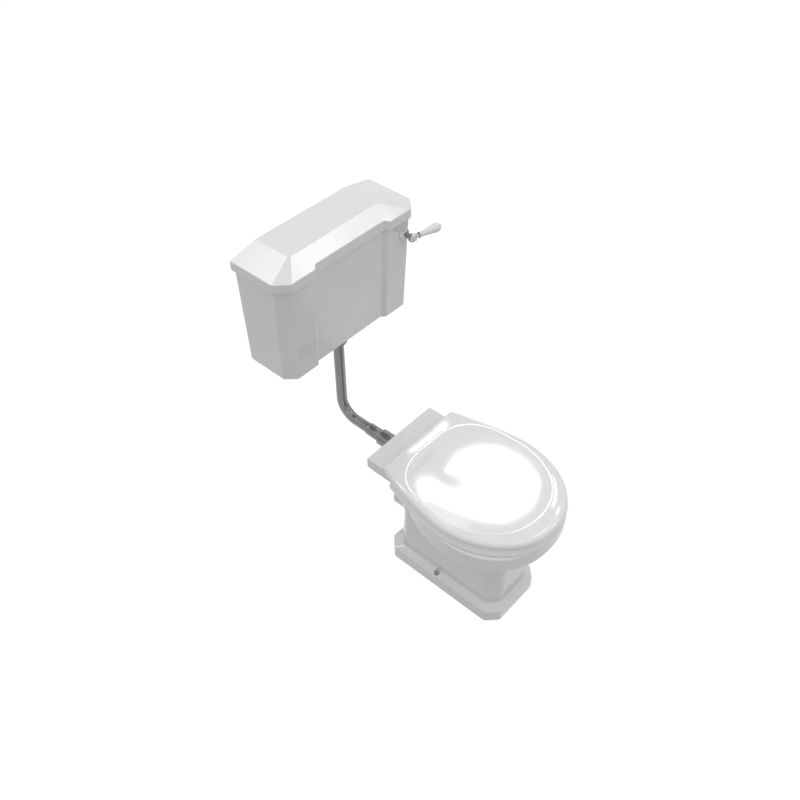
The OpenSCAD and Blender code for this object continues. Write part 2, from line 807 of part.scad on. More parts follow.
// One row of the lid's outside, which rises and widens towards the back
function lid_row(row) = [
    for (p = seat_outline(seat_back_y + row[0] - row[1], row[0]))
        let (s = ease((p.y - hinge_y + 55) / 55))
        [p.x * (1 + row[4] * s), p.y, cover_z + row[2] + row[3] * s]
];
module seat_lid() {
    outline = seat_outline(seat_back_y, 0);
    z0 = cover_z;
    z1 = cover_z + cover_t;
    pocket_x = lug_x(1) + lug_w / 2 + 3;
    pocket_y = hinge_y - barrel_r - 4;
    // Rows of the outside: [inset, inset of the back edge, height, lift and spread of the back corners]
    rows = [
        [3, 0.6, 0, 0, 0], [0.7, 0.2, 2.5, 0, 0], [0, 0, 6, 0, 0],
        [0.8, 0, 11, 0, 0], [4, 0.2, 16, 3, 0], [9, 1.2, 19, 2.1, 0.022]
    ];
    color(seat_white)
        difference() {
            union() {
                difference() {
                    loft([
                        for (row = rows)
                            lid_row(row),
                        panel_ring(outline, 3, z1 - 1),
                        panel_ring(outline, 0, z1),
                        panel_ring(outline, -8, z1 - 0.8),
                        panel_ring(outline, -40, z1 - 0.5)
                    ]);
                    loft([
                        panel_ring(outline, 9, z0 - eps),
                        panel_ring(outline, 8, z0 + 4),
                        panel_ring(outline, 0, z0 + 7)
                    ]);
                    translate([-pocket_x, pocket_y, z0 - eps])
                        cube([2 * pocket_x, seat_back_y - pocket_y + eps, cover_pocket_z - z0 + eps]);
                }
                for (side = [-1, 1])
                    lid_lug(side);
            }
            for (side = [-1, 1])
                barrel(side * lug_x(-1), lug_w, hinge_pin_r + run_fit);
        }
}
module lid_lug(side) {
    barrel(side * lug_x(-1), lug_w / 2, barrel_r);
    translate([side * lug_x(-1) - lug_w / 2, hinge_y - barrel_r + 1, hinge_z])
        cube([lug_w, 2 * barrel_r - 2, barrel_r + 3]);
}

// Pads at both sides: places is a list of [x, y]
module pads(places, z0, z1, r) {
    for (p = places, side = [-1, 1])
        along_z(side * p.x, p.y, z0, z1, r);
}
module seat_buffers() {
    color(white_plastic)
        pads(
            [[0.86 * rim_a, -0.65 * rim_front], [0.637 * rim_a, 0.24 * rim_back]],
            rim_z + seat_gap, ring_z, 8
        );
}
lid_pad_z = ring_z + ring_t + seat_gap;
module lid_buffers() {
    color(white_plastic)
        pads([[0.75 * seat_a, -0.62 * seat_front], [0.7 * seat_a, 0.25 * seat_a]], lid_pad_z, cover_z + 7, 6);
}

// Seat hinges

post_foot_h = 4;
post_foot_r = 12;
stem_y = 9;
module hinge_posts() {
    foot_z = rim_z + seat_gap;
    color(chrome)
        for (side = [-1, 1])
            difference() {
                union() {
                    barrel(side * hinge_x, hinge_width / 2, barrel_r);
                    translate([side * hinge_x - hinge_width / 2, hinge_y - stem_y / 2, foot_z])
                        cube([hinge_width, stem_y, hinge_z - foot_z]);
                    along_z(side * hinge_x, hinge_y, foot_z, foot_z + post_foot_h, post_foot_r);
                }
                barrel(side * hinge_x, hinge_width, hinge_pin_r + 0.01);
                along_z(side * hinge_x, hinge_y, foot_z - eps, foot_z + post_foot_h + 8, hinge_bolt_r + 0.01);
            }
}
module hinge_pins() {
    reach = hinge_width / 2 + lug_gap + lug_w + 2;
    color(chrome)
        for (side = [-1, 1]) {
            barrel(side * hinge_x, reach, hinge_pin_r);
            barrel(side * (hinge_x + reach), 1, hinge_pin_r + 1.5);
        }
}
washer_h = 2.2;
bolt_l = 42;
module hinge_bolts() {
    top = rim_z + seat_gap + post_foot_h + 7;
    color(brass)
        for (side = [-1, 1])
            along_z(side * hinge_x, hinge_y, top - bolt_l - 7, top, hinge_bolt_r);
}
module hinge_washers() {
    z1 = deck_under_z - seat_gap;
    color(black_rubber)
        for (side = [-1, 1])
            difference() {
                along_z(side * hinge_x, hinge_y, z1 - washer_h, z1, 12);
                along_z(side * hinge_x, hinge_y, z1 - washer_h - eps, z1 + eps, hinge_bolt_r + 0.1);
            }
}
module hinge_wing_nuts() {
    z1 = deck_under_z - seat_gap - washer_h;
    nut_h = 8;
    color(white_plastic)
        for (side = [-1, 1])
            difference() {
                union() {
                    along_z(side * hinge_x, hinge_y, z1 - nut_h, z1, 8);
                    translate([side * hinge_x - 16, hinge_y - 2, z1 - nut_h - 3])
                        cube([32, 4, nut_h + 1]);
                }
                along_z(side * hinge_x, hinge_y, z1 - nut_h - 4, z1 + eps, hinge_bolt_r + 0.02);
            }
}

// Lever

lever_z = body_top_z - lever_down;
face_y = front_y(lever_z);
wall_tilt = atan(body_flare_y / body_h);
hub_y = face_y - hub_out;
bush_r = 8;
bush_front_y = face_y - 11;
bush_back_y = face_y + body_wall + 19;
arm_y = pipe_y - 11;
spindle_end_y = arm_y + 6;

// Slab along the sloping wall, from d0 to d1 behind its face
module wall_slab(d0, d1) {
    translate([lever_x, face_y, lever_z])
        rotate([wall_tilt, 0, 0])
            translate([-60, d0, -60])
                cube([120, d1 - d0, 120]);
}
module lever_rosette() {
    color(chrome)
        difference() {
            translate([lever_x, face_y + 4, lever_z])
                rotate([90, 0, 0])
                    rotate_extrude()
                        polygon(concat(
                            [[bush_r + 0.05, 0], [rosette_r, 0], [rosette_r, 6.5]],
                            arc(bush_r + 2, 6, rosette_r - bush_r - 2, 10, 80, 5),
                            [[bush_r + 2.5, 15], [bush_r + 0.05, 15]]
                        ));
            wall_slab(-seat_gap, 30);
        }
}
module lever_bush() {
    color(brass)
        difference() {
            along_y(lever_x, bush_front_y, bush_back_y, lever_z, bush_r);
            along_y(lever_x, bush_front_y - eps, bush_back_y + eps, lever_z, spindle_r + run_fit);
        }
}
module lever_bush_nut() {
    y0 = face_y + body_wall + 1.2;
    color(brass)
        difference() {
            along_y(lever_x, y0, y0 + 6, lever_z, bush_r + 3.5, 6);
            along_y(lever_x, y0 - eps, y0 + 7, lever_z, bush_r + 0.02);
        }
}
module lever_spindle() {
    color(brass)
        along_y(lever_x, hub_y + 4, spindle_end_y, lever_z, spindle_r);
}
// Places a child whose +Z runs out along the handle from the hub's centre
module along_handle() {
    translate([lever_x, hub_y, lever_z])
        rotate([0, 90 + handle_droop, 0])
            children();
}
stub_r = 5.5;
stub_end = 24;
module lever_hub() {
    color(chrome)
        difference() {
            union() {
                translate([lever_x, hub_y, lever_z])
                    sphere(r = hub_r);
                along_y(lever_x, hub_y + hub_r - 3, bush_front_y - 1, lever_z, spindle_r + 3);
                along_handle()
                    cylinder(r = stub_r, h = stub_end);
            }
            along_y(lever_x, hub_y + 4 - 0.2, bush_front_y, lever_z, spindle_r + 0.01);
        }
}
module lever_collar() {
    color(chrome)
        along_handle()
            rotate_extrude()
                polygon(concat(
                    [[0, stub_end + 0.1], [6, stub_end + 0.1]],
                    arc(6, stub_end + 3.3, 3.2, -80, 80, 5),
                    [[6, handle_start - 0.1], [0, handle_start - 0.1]]
                ));
}
// Sections of the handle: [share of the length, share of the largest radius]
handle_sections = [
    [0, 0.5], [0.06, 0.56], [0.2, 0.6], [0.45, 0.76], [0.7, 0.94],
    [0.82, 1], [0.91, 0.96], [0.97, 0.82], [1, 0.66]
];
module lever_handle() {
    color(ceramic)
        along_handle()
            translate([0, 0, handle_start])
                rotate_extrude()
                    polygon(concat(
                        [[0, 0]],
                        [for (s = handle_sections) [s[1] * handle_r, s[0] * handle_l]],
                        [[0, handle_l]]
                    ));
}
module lever_end_cap() {
    cap_r = 0.58 * handle_r;
    color(chrome)
        along_handle()
            translate([0, 0, handle_start + handle_l + 0.1])
                rotate_extrude()
                    polygon(concat([[0, 0], [cap_r, 0]], arc(0, 0, cap_r, 12, 90, 6)));
}
// The inner arm ends in a slot, in which the lift link's pin rides
half_turn = lever_turn / 2;
link_reach = lever_x - rod_x;
link_z = lever_z - link_reach * tan(half_turn);
link_pin_r = 2.5;
slot_r = link_pin_r + 0.7;
slot_end = link_reach / cos(half_turn) + 0.8;
arm_h = 13;
arm_t = 4;
module lever_inner_arm() {
    color(brass)
        difference() {
            union() {
                along_y(lever_x, arm_y - 3, spindle_end_y - 1, lever_z, spindle_r + 4);
                translate([lever_x, arm_y - 2, lever_z])
                    rotate([0, -half_turn, 0])
                        translate([-slot_end - slot_r - 3, 0, -arm_h / 2])
                            cube([slot_end + slot_r + 3, arm_t, arm_h]);
            }
            along_y(lever_x, arm_y - 4, spindle_end_y, lever_z, spindle_r + 0.01);
            translate([lever_x, arm_y - 3, lever_z])
                rotate([0, -half_turn, 0]) {
                    along_y(-slot_end, 0, arm_t + 2, 0, slot_r);
                    along_y(-link_reach + 0.8, 0, arm_t + 2, 0, slot_r);
                    translate([-slot_end, 0, -slot_r])
                        cube([slot_end - link_reach + 0.8, arm_t + 2, 2 * slot_r]);
                }
        }
}
link_block = 8;
module lift_link() {
    color(brass)
        difference() {
            union() {
                along_y(rod_x, arm_y - 5, pipe_y, link_z, link_pin_r);
                along_y(rod_x, arm_y - 6.5, arm_y - 4.5, link_z, link_pin_r + 2);
                along_z(rod_x, pipe_y, link_z - link_block - 5, link_z + link_block, 5);
            }
            along_z(rod_x, pipe_y, link_z - link_block - 6, link_z - 4, rod_r + 0.01);
        }
}

// Siphon

chamber_z = body_floor_z + 7.5;
chamber_h = 86;
chamber_wall = 3;
plate_z = chamber_z + 6;
plate_r = chamber_r - chamber_wall - 0.8;
up_leg_x = rod_x - 27.5;
siphon_top_z = body_top_z - siphon_down;
leg_wall = 3;
flange_z = body_floor_z + seat_gap + 3 + seat_gap;
tail_end_z = cistern_z - 30;

module siphon_legs(r, down_to) {
    along_z(0, pipe_y, down_to, siphon_top_z, r);
    along_z(up_leg_x, pipe_y, chamber_z + chamber_h - chamber_wall - eps, siphon_top_z, r);
    translate([up_leg_x / 2, pipe_y, siphon_top_z])
        rotate([90, 0, 0])
            rotate_extrude(angle = 180)
                translate([up_leg_x / 2, 0])
                    circle(r = r);
}
module siphon_body() {
    chamber_top = chamber_z + chamber_h;
    color(grey_plastic)
        difference() {
            union() {
                along_z(rod_x, pipe_y, chamber_z, chamber_top, chamber_r);
                along_z(rod_x, pipe_y, chamber_top - eps, chamber_top + 16, rod_r + 5);
                siphon_legs(leg_r, flange_z + 2);
                along_z(0, pipe_y, flange_z, flange_z + 5, tail_r + 9);
                along_z(0, pipe_y, tail_end_z, flange_z + eps, tail_r);
                translate([leg_r - 4, pipe_y - 2, flange_z + 8])
                    cube([rod_x - chamber_r - leg_r + 6, 4, chamber_h - 20]);
            }
            along_z(rod_x, pipe_y, chamber_z - eps, chamber_top - chamber_wall, chamber_r - chamber_wall);
            along_z(rod_x, pipe_y, chamber_z, chamber_top + 17, rod_r + run_fit);
            siphon_legs(leg_r - leg_wall, tail_end_z - eps);
        }
}
module siphon_rod() {
    color(brass)
        along_z(rod_x, pipe_y, plate_z, link_z - 4.2, rod_r);
}
module siphon_plate() {
    color(grey_plastic)
        difference() {
            along_z(rod_x, pipe_y, plate_z, plate_z + 3, plate_r);
            along_z(rod_x, pipe_y, plate_z - eps, plate_z + 4, rod_r + 0.01);
            for (a = [0:60:300])
                translate([rod_x, pipe_y, 0])
                    rotate([0, 0, a])
                        along_z(plate_r * 0.6, 0, plate_z - eps, plate_z + 4, 6);
        }
}
module siphon_diaphragm() {
    color(black_rubber)
        difference() {
            along_z(rod_x, pipe_y, plate_z + 3.1, plate_z + 4.1, plate_r - 0.5);
            along_z(rod_x, pipe_y, plate_z + 3, plate_z + 5, rod_r + 0.01);
        }
}
module siphon_washer() {
    z0 = body_floor_z + seat_gap;
    color(black_rubber)
        difference() {
            along_z(0, pipe_y, z0, z0 + 3, tail_r + 9);
            along_z(0, pipe_y, z0 - eps, z0 + 4, tail_r + 0.1);
        }
}
back_nut_h = 10;
module siphon_back_nut() {
    z1 = cistern_z - seat_gap;
    color(grey_plastic)
        difference() {
            along_z(0, pipe_y, z1 - back_nut_h, z1, tail_r + 11, 6);
            along_z(0, pipe_y, z1 - back_nut_h - eps, z1 + eps, tail_r + 0.05);
        }
}

// Flush pipe

nut_top_z = cistern_z - back_nut_h - 2;
nut_bottom_z = tail_end_z - 9;
seal_h = 6;
module pipe_nut() {
    grip_r = tail_r + 3.5;
    color(chrome)
        difference() {
            along_z(0, pipe_y, nut_bottom_z, nut_top_z, grip_r);
            along_z(0, pipe_y, tail_end_z - seal_h, nut_top_z + eps, tail_r + 0.1);
            along_z(0, pipe_y, nut_bottom_z - eps, tail_end_z, pipe_r + 0.15);
        }
}
module pipe_seal() {
    color(black_rubber)
        difference() {
            along_z(0, pipe_y, tail_end_z - seal_h + 0.1, tail_end_z - 0.1, tail_r - 0.2);
            along_z(0, pipe_y, tail_end_z - seal_h - eps, tail_end_z + eps, pipe_r + 0.05);
        }
}
bend_y = pipe_y - pipe_bend;
bend_z = inlet_z + pipe_bend;
pipe_end_y = inlet_end_y - 30;
module pipe_solid(r, past) {
    along_z(0, pipe_y, bend_z, tail_end_z + 12 + past, r);
    bend_yz(bend_y, bend_z, pipe_bend, r, 270, 90);
    along_y(0, pipe_end_y - past, bend_y, inlet_z, r);
}
module flush_pipe() {
    color(chrome)
        difference() {
            pipe_solid(pipe_r, 0);
            pipe_solid(pipe_r - pipe_wall, eps);
        }
}
cone_flange = 4;
collar_y = inlet_end_y + seat_gap + cone_flange + seat_gap;
module flush_cone() {
    color(black_rubber)
        difference() {
            union() {
                along_y(0, inlet_end_y - 22, inlet_end_y + seat_gap + eps, inlet_z, inlet_bore - 0.05);
                along_y(0, inlet_end_y + seat_gap, collar_y - seat_gap, inlet_z, inlet_r - 0.5);
            }
            along_y(0, inlet_end_y - 23, inlet_end_y + cone_flange + 2, inlet_z, pipe_r + 0.05);
        }
}
module pipe_collar() {
    edge = 3.5;
    color(chrome)
        translate([0, collar_y, inlet_z])
            rotate([-90, 0, 0])
                rotate_extrude()
                    polygon(concat(
                        [[pipe_r + 0.1, 0], [collar_r - 1, 0], [collar_r, 1]],
                        arc(collar_r - edge, collar_l - edge, edge, 0, 90, 4),
                        [[pipe_r + 0.1, collar_l]]
                    ));
}
module pipe_sleeve() {
    y0 = collar_y + collar_l + seat_gap;
    color(chrome)
        translate([0, y0, inlet_z])
            rotate([-90, 0, 0])
                rotate_extrude()
                    polygon([
                        [pipe_r + 0.1, 0], [sleeve_r, 0], [sleeve_r, sleeve_l - 2],
                        [sleeve_r - 1.5, sleeve_l], [pipe_r + 0.1, sleeve_l]
                    ]);
}

// Float valve

head_z = body_top_z - head_down;
piston_r = 7;
pivot_x = -valve_x + 23;
pivot_z = head_z - 16;
float_x = -leg_r - float_gap - float_r;
float_arm_l = float_x - pivot_x;
ear_gap = 8;
ear_t = 3;
arm_pin_r = 2.5;
head_back_x = -valve_x - 14;
head_front_x = -valve_x + 14;
valve_flange_z = body_floor_z + seat_gap + 3 + seat_gap;
shank_l = 38;
groove_r = shank_r - 0.8;
groove_h = 2;
valve_flange_r = shank_r + 6.5;
valve_nut_h = 8;
thread_end_z = cistern_z - valve_nut_h - 1;
module valve_body() {
    color(brass)
        difference() {
            union() {
                along_z(-valve_x, valve_y, cistern_z - shank_l, thread_end_z, shank_r);
                along_z(-valve_x, valve_y, thread_end_z - eps, valve_flange_z, groove_r);
                along_z(-valve_x, valve_y, thread_end_z + groove_h, valve_flange_z + eps, shank_r);
                along_z(-valve_x, valve_y, valve_flange_z, valve_flange_z + 4, valve_flange_r);
                along_z(-valve_x, valve_y, valve_flange_z, head_z, 9);
                along_x(head_back_x, head_front_x, valve_y, head_z, 12);
                for (side = [-1, 1])
                    translate([-valve_x + 4, valve_y + side * (ear_gap + ear_t / 2) - ear_t / 2, pivot_z - 7])
                        cube([pivot_x + valve_x + 3, ear_t, head_z - pivot_z + 7]);
            }
            along_x(head_back_x + 6, head_front_x + eps, valve_y, head_z, piston_r + run_fit);
            along_z(-valve_x, valve_y, cistern_z - shank_l - eps, head_z - 3, 5);
            along_y(pivot_x, valve_y - 20, valve_y + 20, pivot_z, arm_pin_r + 0.01);
        }
}
module valve_washer() {
    z0 = body_floor_z + seat_gap;
    color(black_rubber)
        difference() {
            along_z(-valve_x, valve_y, z0, z0 + 3, valve_flange_r);
            along_z(-valve_x, valve_y, z0 - eps, z0 + 4, shank_r + 0.1);
        }
}
module valve_back_nut() {
    z1 = cistern_z - seat_gap;
    color(brass)
        difference() {
            along_z(-valve_x, valve_y, z1 - valve_nut_h, z1, valve_flange_r + 0.5, 6);
            along_z(-valve_x, valve_y, z1 - valve_nut_h - eps, z1 + eps, shank_r + 0.05);
        }
}
piston_end_x = head_front_x + 4;
module valve_piston() {
    color(brass)
        along_x(head_back_x + 7, piston_end_x, valve_y, head_z, piston_r);
}
module arm_pin() {
    half = ear_gap + ear_t;
    color(brass) {
        along_y(pivot_x, valve_y - half - 2, valve_y + half + 2, pivot_z, arm_pin_r);
        along_y(pivot_x, valve_y - half - 3, valve_y - half - 0.2, pivot_z, arm_pin_r + 1.5);
    }
}
module float_arm() {
    boss_w = ear_gap - seat_gap;
    boss_r = 6;
    color(brass)
        difference() {
            union() {
                along_y(pivot_x, valve_y - boss_w, valve_y + boss_w, pivot_z, boss_r);
                translate([piston_end_x + seat_gap, valve_y - 4, pivot_z])
                    cube([5, 8, head_z - pivot_z + 5]);
                along_x(pivot_x, pivot_x + float_arm_l - float_r + 8, valve_y, pivot_z, 3);
            }
            along_y(pivot_x, valve_y - boss_w - eps, valve_y + boss_w + eps, pivot_z, arm_pin_r + run_fit);
        }
}
module float_ball() {
    color("white")
        difference() {
            translate([pivot_x + float_arm_l, valve_y, pivot_z])
                sphere(r = float_r);
            along_x(pivot_x, pivot_x + float_arm_l - float_r + 8.2, valve_y, pivot_z, 3.01);
        }
}

pan();
cistern_body();
cistern_lid();
seat_ring();
seat_lid();
seat_buffers();
lid_buffers();
hinge_posts();
hinge_pins();
hinge_bolts();
hinge_washers();
hinge_wing_nuts();
lever_rosette();
lever_bush();
lever_bush_nut();
lever_spindle();
lever_hub();
lever_collar();
lever_handle();
lever_end_cap();
lever_inner_arm();
lift_link();
siphon_rod();
siphon_plate();
siphon_diaphragm();
siphon_body();
siphon_washer();
siphon_back_nut();
pipe_nut();
pipe_seal();
flush_pipe();
pipe_sleeve();
pipe_collar();
flush_cone();
valve_body();
valve_washer();
valve_back_nut();
valve_piston();
arm_pin();
float_arm();
float_ball();
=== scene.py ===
import json
import math

import bmesh
import bpy
import numpy as np
from mathutils import Matrix, Vector


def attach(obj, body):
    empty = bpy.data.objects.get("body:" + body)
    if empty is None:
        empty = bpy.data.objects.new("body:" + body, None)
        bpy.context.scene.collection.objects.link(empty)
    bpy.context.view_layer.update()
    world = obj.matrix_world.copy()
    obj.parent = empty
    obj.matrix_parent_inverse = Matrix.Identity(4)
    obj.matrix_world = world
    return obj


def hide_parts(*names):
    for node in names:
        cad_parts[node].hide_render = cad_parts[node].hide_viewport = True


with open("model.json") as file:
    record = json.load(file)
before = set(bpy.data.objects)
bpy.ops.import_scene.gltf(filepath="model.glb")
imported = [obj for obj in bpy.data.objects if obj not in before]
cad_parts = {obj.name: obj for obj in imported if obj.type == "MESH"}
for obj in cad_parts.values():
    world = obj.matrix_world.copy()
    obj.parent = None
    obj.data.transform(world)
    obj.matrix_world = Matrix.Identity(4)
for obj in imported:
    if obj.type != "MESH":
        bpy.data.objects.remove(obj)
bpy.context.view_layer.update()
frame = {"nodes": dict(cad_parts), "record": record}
nodes = frame["nodes"]
MM = 0.001

# Sizes in millimetres, as in the part's source
WALL_Y = 573.0
RIM_Z = 400.0
CISTERN_Z = 678.5
PIPE_Y, PIPE_R = 471.0, 16.0
INLET_Z, OUTLET_Z = 352.0, 185.0
HINGE_Y, HINGE_Z = 150.0, 430.0
SEAT_BOLT_X, FLOOR_SCREW_X = 77.5, 98.0
LEVER_X, LEVER_Z = 200.0, 939.0


# ---- Mesh tools ----

def new_object(name, bm, smooth=True, angle=None):
    mesh = bpy.data.meshes.new(name)
    bm.to_mesh(mesh)
    bm.free()
    obj = bpy.data.objects.new(name, mesh)
    bpy.context.scene.collection.objects.link(obj)
    for p in mesh.polygons:
        p.use_smooth = smooth
    if angle is not None:
        mesh.set_sharp_from_angle(angle=math.radians(angle))
    return obj


def from_faces(name, verts, faces, smooth=True, angle=None):
    """A mesh object from points in millimetres."""
    bm = bmesh.new()
    vs = [bm.verts.new(tuple(float(c) * MM for c in v)) for v in verts]
    for f in faces:
        bm.faces.new([vs[i] for i in f])
    bmesh.ops.recalc_face_normals(bm, faces=bm.faces)
    return new_object(name, bm, smooth, angle)


def loft(name, rings, loop=False, caps=True, smooth=True, angle=None):
    """Quads through rings of equal length. loop joins the last ring to the first."""
    k, n = len(rings), len(rings[0])
    verts = [tuple(p) for r in rings for p in r]
    faces = []
    for r in range(k if loop else k - 1):
        s = (r + 1) % k
        for i in range(n):
            j = (i + 1) % n
            faces.append((r * n + i, r * n + j, s * n + j, s * n + i))
    if caps and not loop:
        faces.append(tuple(range(n - 1, -1, -1)))
        faces.append(tuple((k - 1) * n + i for i in range(n)))
    return from_faces(name, verts, faces, smooth, angle)


def side_quads(n):
    """Quads between a ring of n points and the n points that follow it."""
    return [(i, (i + 1) % n, n + (i + 1) % n, n + i) for i in range(n)]


def prism(name, line, x0, x1, smooth=True):
    """A closed line of [y, z] pushed from x0 to x1."""
    n = len(line)
    verts = [(x, p[0], p[1]) for x in (x0, x1) for p in line]
    ends = [tuple(range(n)), tuple(range(2 * n - 1, n - 1, -1))]
    return from_faces(name, verts, ends + side_quads(n), smooth)


def at_z(points, z):
    return np.array([[p[0], p[1], z] for p in points], float)


def box(name, x0, x1, y0, y1, z0, z1):
    corners = [(x0, y0), (x1, y0), (x1, y1), (x0, y1)]
    return loft(name, [at_z(corners, z) for z in (z0, z1)], smooth=False)


def lathe(name, profile, origin, direction, steps=72, angle=40):
    """Turns a profile of [distance along, radius] about a line from origin."""
    d = Vector(direction).normalized()
    q = Vector((0, 0, 1)).rotation_difference(d).to_matrix()
    o = Vector(origin)
    rings = []
    for along, radius in profile:
        ring = []
        for i in range(steps):
            a = 2 * math.pi * i / steps
            ring.append(o + q @ Vector((radius * math.cos(a), radius * math.sin(a), along)))
        rings.append(ring)
    closed = profile[0][1] > 0.01 and tuple(profile[0]) == tuple(profile[-1])
    if closed:
        return loft(name, rings[:-1], loop=True, angle=angle)
    obj = loft(name, rings, caps=False, angle=angle)
    bm = bmesh.new()
    bm.from_mesh(obj.data)
    bmesh.ops.remove_doubles(bm, verts=bm.verts, dist=1e-6)
    bmesh.ops.recalc_face_normals(bm, faces=bm.faces)
    bm.to_mesh(obj.data)
    bm.free()
    return shade(obj, angle)


def arc2(c0, c1, r, a0, a1, n):
    turns = [math.radians(a0 + (a1 - a0) * i / n) for i in range(n + 1)]
    return [(c0 + r * math.cos(a), c1 + r * math.sin(a)) for a in turns]


def bead(along, radius, reach, angles, height=None):
    """Points of a lathe profile around a middle: reach along the line, height away from it."""
    turns = [math.radians(a) for a in angles]
    return [(along + reach * math.sin(a), radius + (height or reach) * math.cos(a)) for a in turns]


def rounded(points, radii, n=5, closed=True):
    """Rounds the corners of a line of points. radii is one value or one for each corner."""
    pts = [np.array(p, float) for p in points]
    k = len(pts)
    if not hasattr(radii, "__len__"):
        radii = [radii] * k
    out = []
    for i in range(k):
        if not closed and i in (0, k - 1):
            out.append(pts[i])
            continue
        a, b, c = pts[i - 1], pts[i], pts[(i + 1) % k]
        u, v = a - b, c - b
        lu, lv = np.linalg.norm(u), np.linalg.norm(v)
        d = min(radii[i], 0.48 * lu, 0.48 * lv)
        if d < 0.01:
            out.append(b)
            continue
        p, q = b + u / lu * d, b + v / lv * d
        for j in range(n + 1):
            t = j / n
            out.append(p * (1 - t) ** 2 + b * 2 * t * (1 - t) + q * t * t)
    return out


def rounded_rows(rows, n=4):
    """The same for a list of (ring, radius): each column of the loft is rounded at each ring."""
    rings = [np.array(ring, float) for ring, _ in rows]
    out = [rings[0]]
    for i in range(1, len(rings) - 1):
        a, b, c = rings[i - 1], rings[i], rings[i + 1]
        radius = rows[i][1]
        if radius < 0.01:
            out.append(b)
            continue
        u, v = a - b, c - b
        lu = np.linalg.norm(u, axis=1, keepdims=True)
        lv = np.linalg.norm(v, axis=1, keepdims=True)
        d = np.minimum(radius, 0.46 * np.minimum(lu, lv))
        p, q = b + u / np.maximum(lu, 1e-6) * d, b + v / np.maximum(lv, 1e-6) * d
        for j in range(n + 1):
            t = j / n
            out.append(p * (1 - t) ** 2 + b * 2 * t * (1 - t) + q * t * t)
    out.append(rings[-1])
    return out


def boolean(obj, others, op="DIFFERENCE"):
    for other in others:
        m = obj.modifiers.new("cut", "BOOLEAN")
        m.operation = op
        m.solver = "EXACT"
        m.object = other
        bake(obj)
        bpy.data.objects.remove(other)


def bake(obj):
    """Applies the modifiers of an object to its mesh."""
    graph = bpy.context.evaluated_depsgraph_get()
    mesh = bpy.data.meshes.new_from_object(obj.evaluated_get(graph))
    obj.modifiers.clear()
    old = obj.data
    obj.data = mesh
    bpy.data.meshes.remove(old)
    return obj


def shade(obj, angle=30):
    for p in obj.data.polygons:
        p.use_smooth = True
    obj.data.set_sharp_from_angle(angle=math.radians(angle))
    return obj


def weighted(obj):
    m = obj.modifiers.new("normals", "WEIGHTED_NORMAL")
    m.keep_sharp = True
    m.weight = 80
    return bake(obj)


def bevel_edges(obj, rules, segments=4, angle=12):
    """Rounds edges. rules lists (test(middle, direction), radius) in mm; the first match holds."""
    bm = bmesh.new()
    bm.from_mesh(obj.data)
    bmesh.ops.remove_doubles(bm, verts=bm.verts, dist=2e-5)
    bmesh.ops.dissolve_limit(bm, angle_limit=math.radians(0.6), verts=bm.verts, edges=bm.edges)
    floats = bm.edges.layers.float
    layer = floats.get("bevel_weight_edge") or floats.new("bevel_weight_edge")
    largest = max(r for _, r in rules)
    for e in bm.edges:
        if len(e.link_faces) != 2 or e.calc_face_angle(0) < math.radians(angle):
            continue
        mid = (e.verts[0].co + e.verts[1].co) / 2 / MM
        line = (e.verts[1].co - e.verts[0].co).normalized()
        e[layer] = next((r for test, r in rules if test(mid, line)), 0) / largest
    bm.to_mesh(obj.data)
    bm.free()
    m = obj.modifiers.new("bevel", "BEVEL")
    m.limit_method = "WEIGHT"
    m.width = largest * MM
    m.segments = segments
    m.use_clamp_overlap = True
    m.harden_normals = False
    m.miter_outer = "MITER_ARC"
    bake(obj)
    return shade(obj, 35)


def tube_along(name, path, radius, steps, wall=0):
    """A pipe along points in millimetres, bored out if it has a wall."""
    pts = [Vector(p) for p in path]
    turns = [2 * math.pi * k / steps for k in range(steps)]
    rings_out, rings_in = [], []
    side = Vector((1, 0, 0))
    for i, p in enumerate(pts):
        t = (pts[min(i + 1, len(pts) - 1)] - pts[max(i - 1, 0)]).normalized()
        up = t.cross(side).normalized()
        for rings, r in ((rings_out, radius), (rings_in, radius - wall)):
            rings.append([p + side * (r * math.cos(a)) + up * (r * math.sin(a)) for a in turns])
    if wall:
        return loft(name, rings_out + rings_in[::-1], loop=True, angle=40)
    return loft(name, rings_out, angle=40)


def join(name, parts):
    """One object out of several."""
    bm = bmesh.new()
    for part in parts:
        bm.from_mesh(part.data)
        bpy.data.objects.remove(part)
    return new_object(name, bm, True, 35)


def cylinder(name, start, end, radius, steps=64):
    a, b = Vector(start), Vector(end)
    length = (b - a).length
    return lathe(name, [(0, 0), (0, radius), (length, radius), (length, 0)], a, b - a, steps)


def hinge_bar(name, x0, x1, radius, steps=64):
    """A cylinder along the hinges' axis."""
    return cylinder(name, (x0, HINGE_Y, HINGE_Z), (x1, HINGE_Y, HINGE_Z), radius, steps)


# ---- Outlines ----

def chamfered(a, y0, y1, ch):
    return [(a, y0 + ch), (a, y1 - ch), (a - ch, y1), (-a + ch, y1),
            (-a, y1 - ch), (-a, y0 + ch), (-a + ch, y0), (a - ch, y0)]


def polygon_reach(points, c, angles):
    """Distance from (0, c) to a closed line of points, at each angle in degrees."""
    pts = np.array(points, float) - np.array([0, c])
    a = np.degrees(np.arctan2(pts[:, 1], pts[:, 0])) % 360
    order = np.argsort(a)
    a, pts = a[order], pts[order]
    out = []
    for t in np.asarray(angles) % 360:
        j = np.searchsorted(a, t) % len(a)
        p, q = pts[j - 1], pts[j]
        d = np.array([math.cos(math.radians(t)), math.sin(math.radians(t))])
        e = q - p
        det = d[0] * -e[1] + d[1] * e[0]
        reach = (p[0] * -e[1] + p[1] * e[0]) / det if abs(det) > 1e-9 else np.linalg.norm(p)
        out.append(reach)
    return np.array(out)


